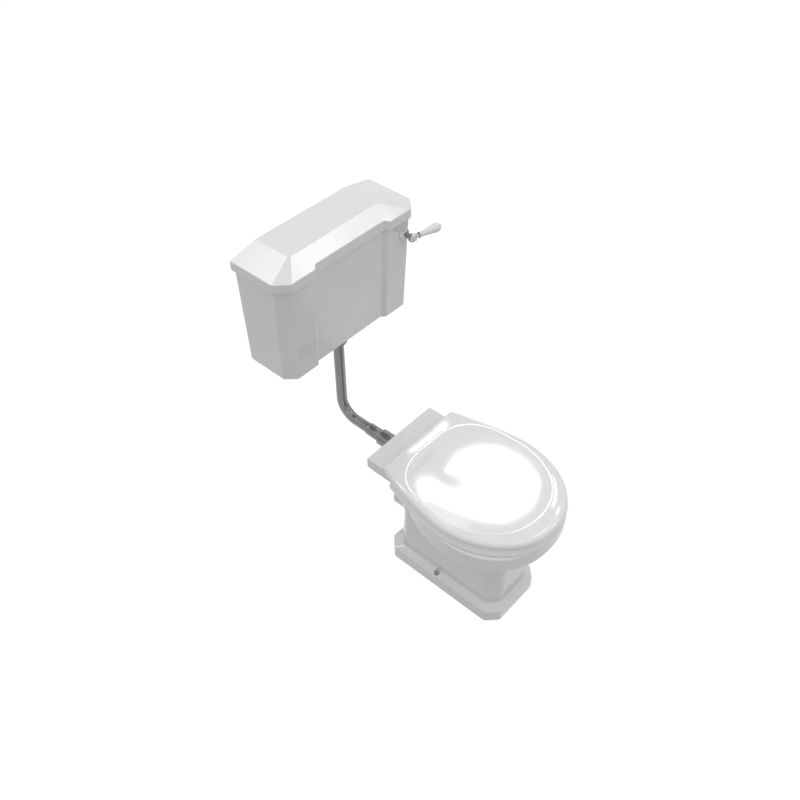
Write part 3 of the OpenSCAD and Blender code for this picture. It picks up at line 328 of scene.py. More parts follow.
def egg_reach(e, c, angles):
    """Distance from (0, c) to an egg: [half width, front, back, widest y, front, back power]."""
    lo, hi = np.zeros(len(angles)), np.full(len(angles), 500.0)
    cx, cy = np.cos(np.radians(angles)), np.sin(np.radians(angles))
    for _ in range(34):
        m = (lo + hi) / 2
        x, y = np.abs(m * cx), c + m * cy
        front = (x / e[0]) ** e[4] + (np.maximum(e[3] - y, 0) / e[1]) ** e[4]
        back = (x / e[0]) ** e[5] + (np.maximum(y - e[3], 0) / e[2]) ** e[5]
        inside = np.where(y < e[3], front, back) < 1
        lo, hi = np.where(inside, m, lo), np.where(inside, hi, m)
    return lo


def grow(e, d):
    return [e[0] + d, e[1] + d, e[2] + d, e[3], e[4], e[5]]


def mix(a, b, w):
    return a * (1 - w) + b * w


def polar(r, c, angles, z):
    t = np.radians(angles)
    return np.stack([r * np.cos(t), c + r * np.sin(t), np.full(len(t), float(z))], axis=1)


# ---- Materials ----

def node(tree, kind, inputs=None):
    """A shader node. inputs maps its sockets, by name or place, to values or to other outputs."""
    new = tree.nodes.new("ShaderNode" + kind)
    for key, value in (inputs or {}).items():
        if isinstance(value, bpy.types.NodeSocket):
            tree.links.new(value, new.inputs[key])
        else:
            new.inputs[key].default_value = value
    return new


def principled(name, color, rough, metal=0.0, coat=0.0, spec=0.5):
    mat = bpy.data.materials.new(name)
    mat.use_nodes = True
    b = mat.node_tree.nodes["Principled BSDF"]
    b.inputs["Base Color"].default_value = (*color, 1)
    b.inputs["Roughness"].default_value = rough
    b.inputs["Metallic"].default_value = metal
    b.inputs["Coat Weight"].default_value = coat
    b.inputs["Coat Roughness"].default_value = 0.03
    b.inputs["Specular IOR Level"].default_value = spec
    return mat, mat.node_tree, b


def noise(tree, scale, detail, rough=0.5, stretch=None):
    source = node(tree, "TexCoord").outputs["Object"]
    if stretch:
        source = node(tree, "Mapping", {"Vector": source, "Scale": stretch}).outputs["Vector"]
    return node(tree, "TexNoise", {"Vector": source, "Scale": scale, "Detail": detail,
                                   "Roughness": rough}).outputs["Fac"]


def ramp(tree, fac, stops):
    """A blend of two colours; stops holds a position and a colour for each."""
    r = node(tree, "ValToRGB", {"Fac": fac})
    for element, (position, color) in zip(r.color_ramp.elements, stops):
        element.position = position
        element.color = (*color, 1)
    return r.outputs["Color"]


def spread(tree, fac, low, high):
    """The middle of a noise, stretched from low to high."""
    return node(tree, "MapRange", {"Value": fac, "From Min": 0.3, "From Max": 0.7,
                                   "To Min": low, "To Max": high}).outputs["Result"]


def bump(tree, b, fac, strength, distance):
    relief = node(tree, "Bump", {"Height": fac, "Strength": strength, "Distance": distance})
    tree.links.new(relief.outputs["Normal"], b.inputs["Normal"])


def tone(tree, b, fac, *stops):
    tree.links.new(ramp(tree, fac, stops), b.inputs["Base Color"])


def gloss(tree, b, fac, low, high):
    tree.links.new(spread(tree, fac, low, high), b.inputs["Roughness"])


def glaze(name, color, rough, coat):
    """White glaze: a faint cloud of tone, slightly uneven gloss and the ripple of poured glaze."""
    mat, tree, b = principled(name, color, rough, coat=coat)
    dark = tuple(c * 0.975 for c in color)
    tone(tree, b, noise(tree, 7.0, 3.0), (0.3, dark), (0.7, color))
    gloss(tree, b, noise(tree, 18.0, 3.0), rough * 0.8, rough * 1.3)
    bump(tree, b, noise(tree, 55.0, 2.0), 0.04, 0.0006)
    return mat


def moulded(name, color, rough, speck=900.0):
    """Moulded plastic with a fine grain."""
    mat, tree, b = principled(name, color, rough)
    dark = tuple(c * 0.94 for c in color)
    tone(tree, b, noise(tree, 22.0, 3.0), (0.3, dark), (0.7, color))
    gloss(tree, b, noise(tree, 60.0, 2.0), rough * 0.85, rough * 1.15)
    bump(tree, b, noise(tree, speck, 2.0), 0.06, 0.0004)
    return mat


def plated(name, color, rough, streak=(1, 1, 1), depth=0.1, metal=1.0):
    """Polished plating with faint smears and polishing lines."""
    mat, tree, b = principled(name, color, rough, metal=metal)
    dark = tuple(c * (1 - depth) for c in color)
    light = tuple(min(1, c * (1 + depth)) for c in color)
    tone(tree, b, noise(tree, 30.0, 4.0, stretch=streak), (0.3, dark), (0.7, light))
    gloss(tree, b, noise(tree, 80.0, 4.0, stretch=streak), rough * 0.6, rough * 1.5)
    bump(tree, b, noise(tree, 220.0, 2.0, stretch=streak), 0.02, 0.0003)
    return mat


def turned(name, color, rough):
    """Brass with fine turning marks, darker where it has tarnished."""
    mat, tree, b = principled(name, color, rough, metal=1.0)
    dark = tuple(c * 0.62 for c in color)
    tone(tree, b, noise(tree, 45.0, 5.0, 0.6), (0.32, dark), (0.6, color))
    gloss(tree, b, noise(tree, 120.0, 4.0), rough * 0.8, rough * 1.5)
    bump(tree, b, noise(tree, 500.0, 3.0), 0.08, 0.0004)
    return mat


def soft(name, color, rough):
    """Rubber with a fine, dull grain."""
    mat, tree, b = principled(name, color, rough, spec=0.3)
    light = tuple(min(1, c * 1.3 + 0.005) for c in color)
    tone(tree, b, noise(tree, 90.0, 4.0), (0.3, color), (0.75, light))
    gloss(tree, b, noise(tree, 150.0, 3.0), rough * 0.85, min(1, rough * 1.15))
    bump(tree, b, noise(tree, 1200.0, 2.0), 0.15, 0.0003)
    return mat


SLOTS = {
    "pan_ceramic": glaze("pan_glaze", (0.80, 0.808, 0.802), 0.09, 0.25),
    "cistern_ceramic": glaze("cistern_glaze", (0.788, 0.797, 0.791), 0.12, 0.2),
    "handle_ceramic": glaze("handle_glaze", (0.80, 0.80, 0.79), 0.12, 0.2),
    "seat_plastic": glaze("seat_gloss", (0.822, 0.832, 0.826), 0.05, 0.6),
    "buffer_rubber": soft("buffer_mat", (0.66, 0.66, 0.64), 0.55),
    "black_rubber": soft("rubber_mat", (0.025, 0.025, 0.026), 0.7),
    "nut_plastic": moulded("nut_mat", (0.74, 0.74, 0.72), 0.42),
    "siphon_plastic": moulded("siphon_mat", (0.44, 0.46, 0.48), 0.45),
    "float_plastic": moulded("float_mat", (0.78, 0.78, 0.75), 0.4, 500.0),
    "hinge_chrome": plated("hinge_chrome", (0.62, 0.62, 0.63), 0.1),
    "lever_chrome": plated("lever_chrome", (0.46, 0.46, 0.465), 0.08, depth=0.25),
    # The flush pipe's plating is painted dark and given a partly matte grey share. This is a
    # painted dark reflection: it stands in for the dim surroundings that real chrome would mirror,
    # and it softens the dark stripe the pipe mirrors of itself.
    "pipe_chrome": plated("pipe_chrome", (0.25, 0.249, 0.244), 0.16, (1, 0.25, 0.25), 0.12, 0.6),
    "brass": turned("brass_mat", (0.62, 0.45, 0.2), 0.3),
}
for sub in frame["record"]["subparts"]:
    data = nodes[sub["node"]].data
    data.materials.clear()
    data.materials.append(SLOTS[sub["material_slot"]])


def finish_piece(obj, body, slot, *replaced):
    obj.data.materials.clear()
    obj.data.materials.append(SLOTS[slot])
    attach(obj, body)
    if replaced:
        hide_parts(*replaced)


# ---- Pan ----

# The pedestal's half width, front, back and corner cut; its back leans in to PED_TOP_Y
PED = (90.0, -208.6, 173.0, 31.0)
PED_TOP_Y = 163.0
PED_MID = (PED[1] + PED[2]) / 2
LEDGE_Z, SWEEP_Z, UNDER_Z = 55.0, 250.0, 352.0
RIM_EGG = [204, 208, 251, -100, 2.2, 2]
RIM_BAND = 41.0
DECK_A, DECK_FRONT, DECK_BACK, DECK_UNDER, DECK_TOP = 137.0, 125.0, 239.0, 386.0, 422.0
THROAT_Z, THROAT_Y, THROAT_R = 128.0, -54.0, 42.0
BOWL_TOP = [172, 170, 221, -100]
# Height, half width and back of the skirt behind the bowl
SKIRT = [(250, 90, 163), (318, 110, 165), (352, 122, 175), (388, 136.7, 199)]
# Height, half width, front and back of the hollow in the back of the pan
HOLLOW = [(62, 64, 145, 262), (210, 66, 120, 262), (230, 68, 52, 262), (262, 82, 72, 262),
          (302, 97, 98, 262), (352, 103, 134, 262), (387, 112, 134, 262)]
PED_LINE = chamfered(PED[0], PED[1], PED_TOP_Y, PED[3])


def pan_angles():
    """Directions from the middle of the pedestal, close together at its corners."""
    corners = [math.degrees(math.atan2(y - PED_MID, x)) % 360 for x, y in PED_LINE]
    even = list(np.arange(0, 360, 1.8))
    near = [c + d for c in corners for d in (-3.2, -2.4, -1.6, -0.8, 0, 0.8, 1.6, 2.4, 3.2)]
    all_angles = sorted(even + [a % 360 for a in near])
    kept = [all_angles[0]]
    for a in all_angles[1:]:
        if a - kept[-1] > 0.35:
            kept.append(a)
    return np.array(kept)


ANG = pan_angles()
PED_REACH = polygon_reach(rounded(PED_LINE, 14, 8), PED_MID, ANG)


def foot_ring(a, y0, y1, ch, z, radius=6.0):
    line = rounded(chamfered(a, y0, y1, ch), radius, 8)
    return polar(polygon_reach(line, PED_MID, ANG), PED_MID, ANG, z)


def smooth_max(a, b, k):
    return (a + b + np.sqrt((a - b) ** 2 + k * k)) / 2


def skirt_reach(z):
    """Distance to the skirt at one height, 0 towards the front."""
    zs = [s[0] for s in SKIRT]
    a = np.interp(z, zs, [s[1] for s in SKIRT])
    b = np.interp(z, zs, [s[2] for s in SKIRT]) - PED_MID
    cut = 14
    right = [(a, -10), (a, b - cut), (a - cut, b)]
    line = rounded(right + [(-x, y) for x, y in right[::-1]], 10, 4)
    line = [(p[0], p[1] + PED_MID) for p in line]
    r = polygon_reach(line, PED_MID, ANG)
    return np.where(np.sin(np.radians(ANG)) > 0.0, r, 0)


def pan_out(z, w, inset):
    """The outside at one height: the pedestal at w = 0, the rim at w = 1, the skirt behind."""
    rim = egg_reach(grow(RIM_EGG, -inset), PED_MID, ANG)
    r = PED_REACH * (1 - w) + rim * w
    s = skirt_reach(z)
    k = 7.0 * min(1.0, max(0.0, (z - SWEEP_Z) / 20))
    r = np.where(s > 0, np.where(s > r - 40, smooth_max(r, s, k) - k * 0.25, r), r)
    return polar(r, PED_MID, ANG, z)


def pan_rim(z, inset):
    return polar(egg_reach(grow(RIM_EGG, -inset), PED_MID, ANG), PED_MID, ANG, z)


def bowl_ring(z, out=0.0):
    """The bowl's wall at one height, or a ring that far outside it."""
    u = (z - THROAT_Z) / (UNDER_Z + 2 - THROAT_Z)
    e = [mix(THROAT_R, BOWL_TOP[0], u ** 2.2), mix(THROAT_R, BOWL_TOP[1], u),
         mix(THROAT_R, BOWL_TOP[2], u ** 1.2), mix(THROAT_Y, BOWL_TOP[3], u), 2, 2]
    c = mix(THROAT_Y, PED_MID, u)
    return polar(egg_reach(grow(e, out), c, ANG), c, ANG, z)


def make_pan():
    rows = [(foot_ring(110, PED[1] - 16.4, 192, 33, 0), 0),
            (foot_ring(111, PED[1] - 17.4, 193, 33, 1.2), 0.6),
            (foot_ring(111, PED[1] - 17.4, 193, 33, 42.5), 2.6),
            (foot_ring(*PED, LEDGE_Z, 14), 4)]
    for z in (90, 130, 170, 210):
        y1 = mix(PED[2], PED_TOP_Y, (z - LEDGE_Z) / (SWEEP_Z - LEDGE_Z))
        rows.append((foot_ring(PED[0], PED[1], y1, PED[3], z, 14), 0))
    rows += [(pan_out(SWEEP_Z + 90 * i / 24, (i / 24) ** 1.8, 8), 0) for i in range(25)]
    rows += [(pan_out(RIM_Z - h, 1, inset), 2)
             for h, inset in ((57, 6), (54.5, 1.8), (50, 0), (5, 0), (1.8, 1), (0.4, 3), (0, 7))]
    rows += [(pan_rim(RIM_Z - h, RIM_BAND - inset), 2.5)
             for h, inset in ((0, 7), (2, 3), (7, 0.5), (30, 0), (38, 2), (42, 7), (45, 9))]
    rows += [(bowl_ring(z), 10 if THROAT_Z < z < 348 else 2)
             for z in (348, 330, 305, 280, 255, 230, 205, 180, 155, THROAT_Z)]
    rows += [(bowl_ring(z, 10), 0) for z in (THROAT_Z, 155, 180, 205, 222)]
    wall = 12
    rows += [(foot_ring(PED[0] - wall, PED[1] + wall, y1 - wall, 27, z), 0)
             for y1, z in ((PED_TOP_Y, 222), (PED[2], 0))]
    return loft("pan_shell", rounded_rows(rows), loop=True)


def block(z, a, y0, y1):
    return [(a, y0, z), (a, y1, z), (-a, y1, z), (-a, y0, z)]


def bend_points(y, z, radius, a0, turn, n):
    return [(0, *p) for p in arc2(y, z, radius, a0, a0 + turn, n)]


def trap_path(top, past):
    """The trap's middle line, from the bowl to the outlet."""
    return ([(0, THROAT_Y, top)] + bend_points(18, 135, 72, 180, 180, 28)
            + bend_points(140, 135, 50, 180, -90, 14) + [(0, past, OUTLET_Z)])


def make_deck():
    side = [(DECK_FRONT, DECK_UNDER), (DECK_BACK, DECK_UNDER), (DECK_BACK, DECK_TOP),
            (174, DECK_TOP), (168, RIM_Z - 0.4), (DECK_FRONT, RIM_Z - 0.4)]
    deck = prism("deck", rounded(side, [0.5, 6, 6, 4, 8, 0.5], 6), -DECK_A, DECK_A)
    bm = bmesh.new()
    bm.from_mesh(deck.data)
    # The edges of both ends, but for those at the front, which lie inside the pan
    ends = [e for e in bm.edges if len(e.link_faces) == 2
            and any(abs(abs(f.normal.x) - 1) < 0.01 for f in e.link_faces)
            and min(v.co.y for v in e.verts) > (DECK_FRONT + 1) * MM]
    bmesh.ops.bevel(bm, geom=ends, offset=5 * MM, segments=5, profile=0.5, affect="EDGES",
                    clamp_overlap=True)
    bm.to_mesh(deck.data)
    bm.free()
    return deck


pan = make_pan()
boolean(pan, [loft("hollow", [block(*row) for row in HOLLOW], smooth=False)])
boolean(pan, [make_deck(),
              tube_along("trap", trap_path(150, 156), 48, 48),
              cylinder("spigot", (0, 154, OUTLET_Z), (0, 216, OUTLET_Z), 51),
              cylinder("horn", (0, 128, INLET_Z), (0, 245, INLET_Z), 25)], "UNION")
boolean(pan, [tube_along("way", trap_path(151, 176), 38, 48),
              cylinder("spigot_bore", (0, 166, OUTLET_Z), (0, 217, OUTLET_Z), 43),
              cylinder("horn_bore", (0, 98, INLET_Z), (0, 246, INLET_Z), 20)])
for side in (-1, 1):
    screw_x, bolt_x = FLOOR_SCREW_X * side, SEAT_BOLT_X * side
    boolean(pan, [cylinder("floor_hole", (screw_x, 0, -1), (screw_x, 0, 56), 4, 32),
                  cylinder("floor_recess", (screw_x, 0, 34), (screw_x, 0, 61), 9.5, 48),
                  cylinder("seat_hole", (bolt_x, HINGE_Y, 385), (bolt_x, HINGE_Y, 401), 5, 32)])
pan.name = "pan_body"
shade(pan, 32)
weighted(pan)
finish_piece(pan, "toilet", "pan_ceramic", "pan")


# ---- Cistern ----

# Half width and depth at the foot, height, and how far the walls lean out at the top
BODY_A, BODY_D, BODY_H = 240.0, 165.0, 303.5
FLARE_X, FLARE_Y = 8.5, 15.0
# The cut of the front corners at the foot, and how much larger it is at the top
CUT, CUT_GROWS = 28, 3
BODY_TOP = CISTERN_Z + BODY_H
RECESS_A, RECESS_D = 125.5, 11.5


def front_y(s):
    """The front wall at a share s of the cistern's height."""
    return WALL_Y - BODY_D - s * FLARE_Y


LEVER_Y = front_y((LEVER_Z - CISTERN_Z) / BODY_H)


def body_plan(s, inset):
    a = BODY_A + s * FLARE_X - inset
    yf = front_y(s) + inset
    yb = WALL_Y - inset
    ch = CUT + CUT_GROWS * s - inset * 0.4
    return [(a, yf + ch), (a, yb - 8), (a - 8, yb), (-a + 8, yb), (-a, yb - 8),
            (-a, yf + ch), (-a + ch, yf), (a - ch, yf)]


def recess_plan(s, inset):
    a = RECESS_A + inset * 0.4
    y = front_y(s) + inset + RECESS_D
    out = RECESS_D + 30
    return [(a + out, y - out), (a, y), (-a, y), (-a - out, y - out)]


def plan_loft(name, plan, rows):
    """A block through plans, each given by its share of the height and its inset."""
    rings = [at_z(plan(s, inset), CISTERN_Z + s * BODY_H) for s, inset in rows]
    return loft(name, rings, smooth=False)


def make_cistern():
    e = 1 / BODY_H  # one millimetre of the height
    wall = 9
    body = plan_loft("cistern", body_plan, [(0, 0), (1, 0)])
    boolean(body, [plan_loft("recess", recess_plan, [(-e, 0), (1 + e, 0)])])
    hollow = plan_loft("tank", body_plan, [(10 * e, wall), (1 + e, wall)])
    boolean(hollow, [plan_loft("recess_in", recess_plan, [(9 * e, wall), (1 + 2 * e, wall)])])
    boolean(body, [hollow])
    bevel_edges(body, [
        (lambda m, w: abs(w.z) > 0.9 and m.y < 450 and abs(m.x) > 190, 9),  # front corners
        (lambda m, w: abs(w.z) > 0.9 and m.y < 425 and abs(m.x) < 140, 2.2),  # recess
        (lambda m, w: m.z < CISTERN_Z + 1, 4),  # foot
        (lambda m, w: abs(w.z) > 0.9, 5),  # back corners
        (lambda m, w: True, 2),
    ], 5)
    under, inside = CISTERN_Z - 1, CISTERN_Z + 11
    holes = [cylinder("tail_hole", (0, PIPE_Y, under), (0, PIPE_Y, inside), 25),
             cylinder("valve_hole", (-200, 490, under), (-200, 490, inside), 11.5, 48),
             cylinder("lever_hole", (LEVER_X, LEVER_Y - 5, LEVER_Z),
                      (LEVER_X, LEVER_Y + 14, LEVER_Z), 9, 48)]
    holes += [cylinder("screw_hole", (x, WALL_Y - 10, 930), (x, WALL_Y + 1, 930), 4, 32)
              for x in (180, -180)]
    boolean(body, holes)
    shade(body, 32)
    return weighted(body)


cistern = make_cistern()
cistern.name = "cistern_tank"
finish_piece(cistern, "toilet", "cistern_ceramic", "cistern_body")

OVERHANG = 6.5
LID_Z = BODY_TOP + 0.3
LID_A = BODY_A + FLARE_X + OVERHANG
LID_FRONT = front_y(1) - OVERHANG
LID_CH = CUT + CUT_GROWS + OVERHANG * 0.6
ROOF_Z, ROOF_H = LID_Z + 29.5, 19.3
# How far the flat top lies in from the lid's sides and front, and its corner cut
FLAT_X, FLAT_Y, FLAT_CH = 91, 65, 4.6


def lid_plan(dx, dy, back, ch):
    a, yf, yb = LID_A - dx, LID_FRONT + dy, WALL_Y - back
    return [(a, yf + ch), (a, yb), (-a, yb), (-a, yf + ch), (-a + ch, yf), (a - ch, yf)]


def make_cistern_lid():
    edge = lid_plan(0, 0, 0, LID_CH)
    lid = loft("lid", [at_z(edge, LID_Z), at_z(edge, ROOF_Z),
                       at_z(lid_plan(FLAT_X, FLAT_Y, 0, FLAT_CH), ROOF_Z + ROOF_H)], smooth=False)
    top_a, reach = RECESS_A + 0.5, RECESS_D + 1
    plan = [(top_a + reach + 20, LID_FRONT - 20), (top_a, LID_FRONT + reach),
            (-top_a, LID_FRONT + reach), (-top_a - reach - 20, LID_FRONT - 20)]
    recess = [at_z(plan, z) for z in (LID_Z - 1, ROOF_Z + 20)]
    boolean(lid, [loft("lid_recess", recess, smooth=False)])
    lip_in, lip_back = 17.5, 18
    lip = lid_plan(lip_in, lip_in + RECESS_D, lip_back, LID_CH)
    boolean(lid, [loft("lip", [at_z(lip, LID_Z + h) for h in (-10, 6)], smooth=False)], "UNION")
    inner = [at_z(lid_plan(w, w + RECESS_D, back, LID_CH - 3), z)
             for w, back, z in ((lip_in + 6, lip_back + 6, LID_Z - 11),
                                (lip_in + 6, lip_back + 6, LID_Z + 3),
                                (14.5, lip_back, LID_Z + 11), (14.5, lip_back, ROOF_Z - 10))]
    inner.append(at_z(lid_plan(FLAT_X, FLAT_Y, lip_back + 6, FLAT_CH), ROOF_Z + ROOF_H - 10))
    boolean(lid, [loft("lid_hollow", inner, smooth=False)])
    bevel_edges(lid, [
        (lambda m, w: m.z > ROOF_Z - 1 and abs(m.y - WALL_Y) > 1, 1.6),  # roof
        (lambda m, w: abs(m.z - LID_Z) < 1.5 and (abs(m.x) > 240 or m.y < 405), 3.5),  # foot
        (lambda m, w: abs(w.z) > 0.9 and m.y < 425, 2.5),  # front corners
        (lambda m, w: True, 1.5),
    ], 4, 5)
    return weighted(lid)


lid = make_cistern_lid()
lid.name = "cistern_top"
finish_piece(lid, "cistern_cover", "cistern_ceramic", "cistern_lid")


# ---- Seat ----

# Half width, reach of the front from the widest place, that place, and the back's half width and y
SEAT_A, SEAT_FRONT, SEAT_WIDE, SEAT_BACK_A, SEAT_BACK_Y = 200.0, 241.0, -72.0, 149.0, 163.0
OPEN_Y = -72.0
OPEN_EGG = [112, 168, 132, OPEN_Y, 2.1, 2.1]
# The panel in the lid, and how far it lies below the bead around it
PANEL_EGG = [175, 197, 194, -64, 2.13, 2.93]
PANEL_DROP = 0.44
LUG_R, EYE_R, LUG_W = 7, 3.55, 17


def seat_side(y):
    u = np.maximum(y - SEAT_WIDE, 0) / (SEAT_BACK_Y - SEAT_WIDE)
    return SEAT_A - (SEAT_A - SEAT_BACK_A) * u ** 1.59


def seat_outline(back_y, inset):
    a, f = SEAT_A - inset, SEAT_FRONT - inset
    yb = back_y - inset
    r = 8 - inset * 0.4
    ab = seat_side(yb - r) - inset
    side_n, front_n, corner_n, back_n = 28, 96, 16, 32
    power = 2 / 2.05
    sides = [mix(SEAT_WIDE, yb - r, i / side_n) for i in range(1, side_n + 1)]
    right = [(seat_side(y) - inset, y) for y in sides]
    corner = arc2(ab - r, yb - r, r, 12, 90, corner_n)
    back = [(mix(corner[-1][0], -corner[-1][0], i / back_n), yb) for i in range(1, back_n)]
    front = []
    for i in range(front_n + 1):
        t = math.radians(180 + 180 * i / front_n)
        c, s = math.cos(t), math.sin(t)
        front.append((a * math.copysign(abs(c) ** power, c),
                      SEAT_WIDE + f * math.copysign(abs(s) ** power, s)))
    return (right + corner + back + [(-x, y) for x, y in corner[::-1]]
            + [(-x, y) for x, y in right[:-1][::-1]] + front)


def egg_ring(outline, egg, c, z):
    pts = np.array(outline)
    ang = np.degrees(np.arctan2(pts[:, 1] - c, pts[:, 0]))
    return polar(egg_reach(egg, c, ang), c, ang, z)


def between(a, b, share, z):
    """A ring on the way from a to b, at the height z."""
    ring = a * (1 - share) + b * share
    ring[:, 2] = z
    return ring


def lid_row(inset, back, z, lift, widen):
    """One row of the lid's outside, which rises and widens towards the back."""
    pts = np.array(seat_outline(SEAT_BACK_Y + inset - back, inset))
    u = np.clip((pts[:, 1] - HINGE_Y + 55) / 55, 0, 1)
    s = u * u * (3 - 2 * u)
    return np.column_stack([pts[:, 0] * (1 + widen * s), pts[:, 1], z + lift * s])


def make_seat_lid():
    z0, z1 = 427.0, 449.0
    outline = seat_outline(SEAT_BACK_Y, 0)

    def panel_ring(wider, z):
        return egg_ring(outline, grow(PANEL_EGG, wider), OPEN_Y, z)

    rows = [(lid_row(inset, back, z0 + up, lift, widen), 3)
            for inset, back, up, lift, widen in (
                (3, 0.6, 0, 0, 0), (0.7, 0.2, 2.5, 0, 0), (0, 0, 6, 0, 0), (0.8, 0, 11, 0, 0),
                (4, 0.2, 16, 3, 0), (9, 1.2, 19, 2.1, 0.022))]
    outer, edge, edge_z = rows[-1][0], panel_ring(5, z1 - 1), z1 - 0.9
    rows += [(between(outer, edge, share, edge_z - drop * (edge_z - outer[:, 2])), 1)
             for share, drop in ((0.2, 0.643), (0.45, 0.357), (0.7, 0.143), (0.88, 0.057))]
    # The panel's edge: a low bead whose inner side leans a little and mirrors the window's light
    rows += [(panel_ring(wider, z1 - drop), radius)
             for wider, drop, radius in ((5.2, 0.9, 0.6), (2.6, 0.22, 0.4), (1.8, 0.24, 0.2),
                                         (-1.2, PANEL_DROP, 0.2))]
    rows += [(panel_ring(wider, z1 - PANEL_DROP), 0) for wider in (-12, -30, -60)]
    inner = rows[-1][0]
    middle = np.zeros_like(inner) + [0, OPEN_Y, 0]
    rows += [(between(inner, middle, share, z1 - PANEL_DROP), 0) for share in (0.35, 0.7, 0.93)]
    top = loft("seat_top", rounded_rows(rows))
    under = loft("seat_under", [panel_ring(wider, z0 + up) for wider, up in (
        (9, -1), (8.6, 1.5), (7, 4.5), (0, 6.8), (-6, 7))])
    pocket = loft("pocket", [block(z, 106, 139, 164) for z in (z0 - 1, 438)], smooth=False)
    boolean(top, [under, pocket])
    for side in (-1, 1):
        x0, x1 = 60.5 * side - LUG_W / 2, 60.5 * side + LUG_W / 2
        boolean(top, [hinge_bar("lug", x0, x1, LUG_R),
                      box("stem", x0, x1, 144, 156, 430, 440)], "UNION")
        boolean(top, [hinge_bar("eye", x0 - 2, x1 + 2, EYE_R, 32)])
    shade(top, 38)
    return weighted(top)


seat_lid = make_seat_lid()
seat_lid.name = "seat_cover"
finish_piece(seat_lid, "cover", "seat_plastic", "seat_lid")


def make_seat_ring():
    z0, z1 = 407.0, 425.0
    back = HINGE_Y - 14
    outline = seat_outline(back, 2)
    rows = [(at_z(seat_outline(back - away, inset), z), radius)
            for inset, z, away, radius in (
                (6, z0, 4, 0), (5, z0 - 5.8, 4, 1), (-1.5, z0 - 5.8, 4, 0.7), (-2, z0 - 3.3, 4, 1),
                (2, z0 + 8, 0, 3.5), (4, z1 - 4, 0, 3.5), (10, z1, 0, 3.5))]
    rows += [(egg_ring(outline, grow(OPEN_EGG, wider), OPEN_Y, z), 3.5)
             for wider, z in ((14, z1), (6, z1 - 3), (0, z1 - 9), (2, z0 + 3), (6, z0))]
    # The first two rings come round again at the end, so that every edge is rounded once
    rows += [(rows[0][0], 1), (rows[1][0], 0)]
    ring = loft("seat_loop", rounded_rows(rows, 5)[1:-1], loop=True)
    web = rounded([(144, 432), (141.5, 426), (136, 423), (120, 423), (120, 411), (136, 411),
                   (152, 424)], [0.5, 2, 2, 1, 1, 4, 0.5], 4)
    for side in (-1, 1):
        x0, x1 = 94.5 * side - LUG_W / 2, 94.5 * side + LUG_W / 2
        boolean(ring, [prism("web", web, x0, x1, False), hinge_bar("lug", x0, x1, LUG_R)], "UNION")
        boolean(ring, [hinge_bar("eye", x0 - 2, x1 + 2, EYE_R, 32)])
    shade(ring, 38)
    return weighted(ring)


seat_ring = make_seat_ring()
seat_ring.name = "seat_hoop"
finish_piece(seat_ring, "seat", "seat_plastic", "seat_ring")


# ---- Pipe ----

def flush_path():
    return ([(0, PIPE_Y, z) for z in (660.5, 600, 500)] + bend_points(411, 412, 60, 0, -90, 36)
            + [(0, y, INLET_Z) for y in (380, 320, 215)])


pipe = tube_along("flush_tube", flush_path(), PIPE_R, 72, 1.5)
finish_piece(pipe, "toilet", "pipe_chrome", "flush_pipe")
bore = PIPE_R + 0.1
collar = lathe("pipe_ferrule", [(0, bore), (0, 24.7), (0.5, 25.3), (1.2, 25.5)]
               + bead(56.5, 22, 3.5, (0, 20, 40, 60, 80, 90))
               + [(60, 19.5), (59.2, 17.4), (58.2, 16.6), (58.0, bore), (0, bore)],
               (0, 249.6, INLET_Z), (0, 1, 0), 96, 50)
finish_piece(collar, "toilet", "pipe_chrome", "pipe_collar")
sleeve = lathe("pipe_socket", [(0, bore), (0, 18.4), (0.6, 18.8), (47, 18.8), (49.5, 18.5),
                               (51.2, 17.6), (52, 16.6), (52, bore), (0, bore)],
               (0, 309.9, INLET_Z), (0, 1, 0), 96, 50)
finish_piece(sleeve, "toilet", "pipe_chrome", "pipe_sleeve")
nut_bore = PIPE_R + 0.2
nut = lathe("pipe_gland", [(0, nut_bore), (0, 25.2), (1.0, 26.9), (2.4, 27.5), (24.6, 27.5),
                           (26.0, 26.9), (27, 25.5), (27, 24.1), (3, 24.1), (3, nut_bore),
                           (0, nut_bore)],
            (0, PIPE_Y, 639.5), (0, 0, 1), 96, 40)
finish_piece(nut, "toilet", "pipe_chrome", "pipe_nut")


# ---- Lever ----

LEVER = Vector((LEVER_X, LEVER_Y, LEVER_Z))
HUB_R, HUB_OUT = 13, 32
HUB = Vector((LEVER_X, LEVER.y - HUB_OUT, LEVER_Z))
DROOP = math.radians(10)
ALONG = Vector((math.cos(DROOP), 0, -math.sin(DROOP)))
BUSH_R, BOLT_R = 8.0, 4.0
GRIP_START, GRIP_L, GRIP_R = 31, 80, 14


def wall_block(depth0, depth1):
    """A slab along the cistern's sloping front wall, around the lever."""
    tilt = math.atan(FLARE_Y / BODY_H)
    way_in = Vector((0, math.cos(tilt), math.sin(tilt)))
    way_up = Vector((0, -math.sin(tilt), math.cos(tilt)))
    rings = [[LEVER + Vector((x, 0, 0)) + way_in * d + way_up * z
              for x, z in ((-40, -40), (40, -40), (40, 40), (-40, 40))] for d in (depth0, depth1)]
    return loft("slab", rings, smooth=False)


rosette_bore = BUSH_R + 0.05
rosette = lathe("lever_escutcheon",
                [(0, rosette_bore), (0, 17.5), (4.9, 17.5), (5.7, 17.3), (6.3, 16.7), (6.5, 15.9),
                 (6.9, 15.4), (7.6, 15.2)] + bead(6.4, 9.2, 7.3, range(14, 85, 10), 6.6)
                + [(14.2, 10.1), (14.8, 9.6), (15, 9.0), (15, rosette_bore), (0, rosette_bore)],
                LEVER + Vector((0, 4, 0)), (0, -1, 0), 96, 42)
boolean(rosette, [wall_block(-0.3, 30)])
shade(rosette, 42)
finish_piece(rosette, "toilet", "lever_chrome", "lever_rosette")

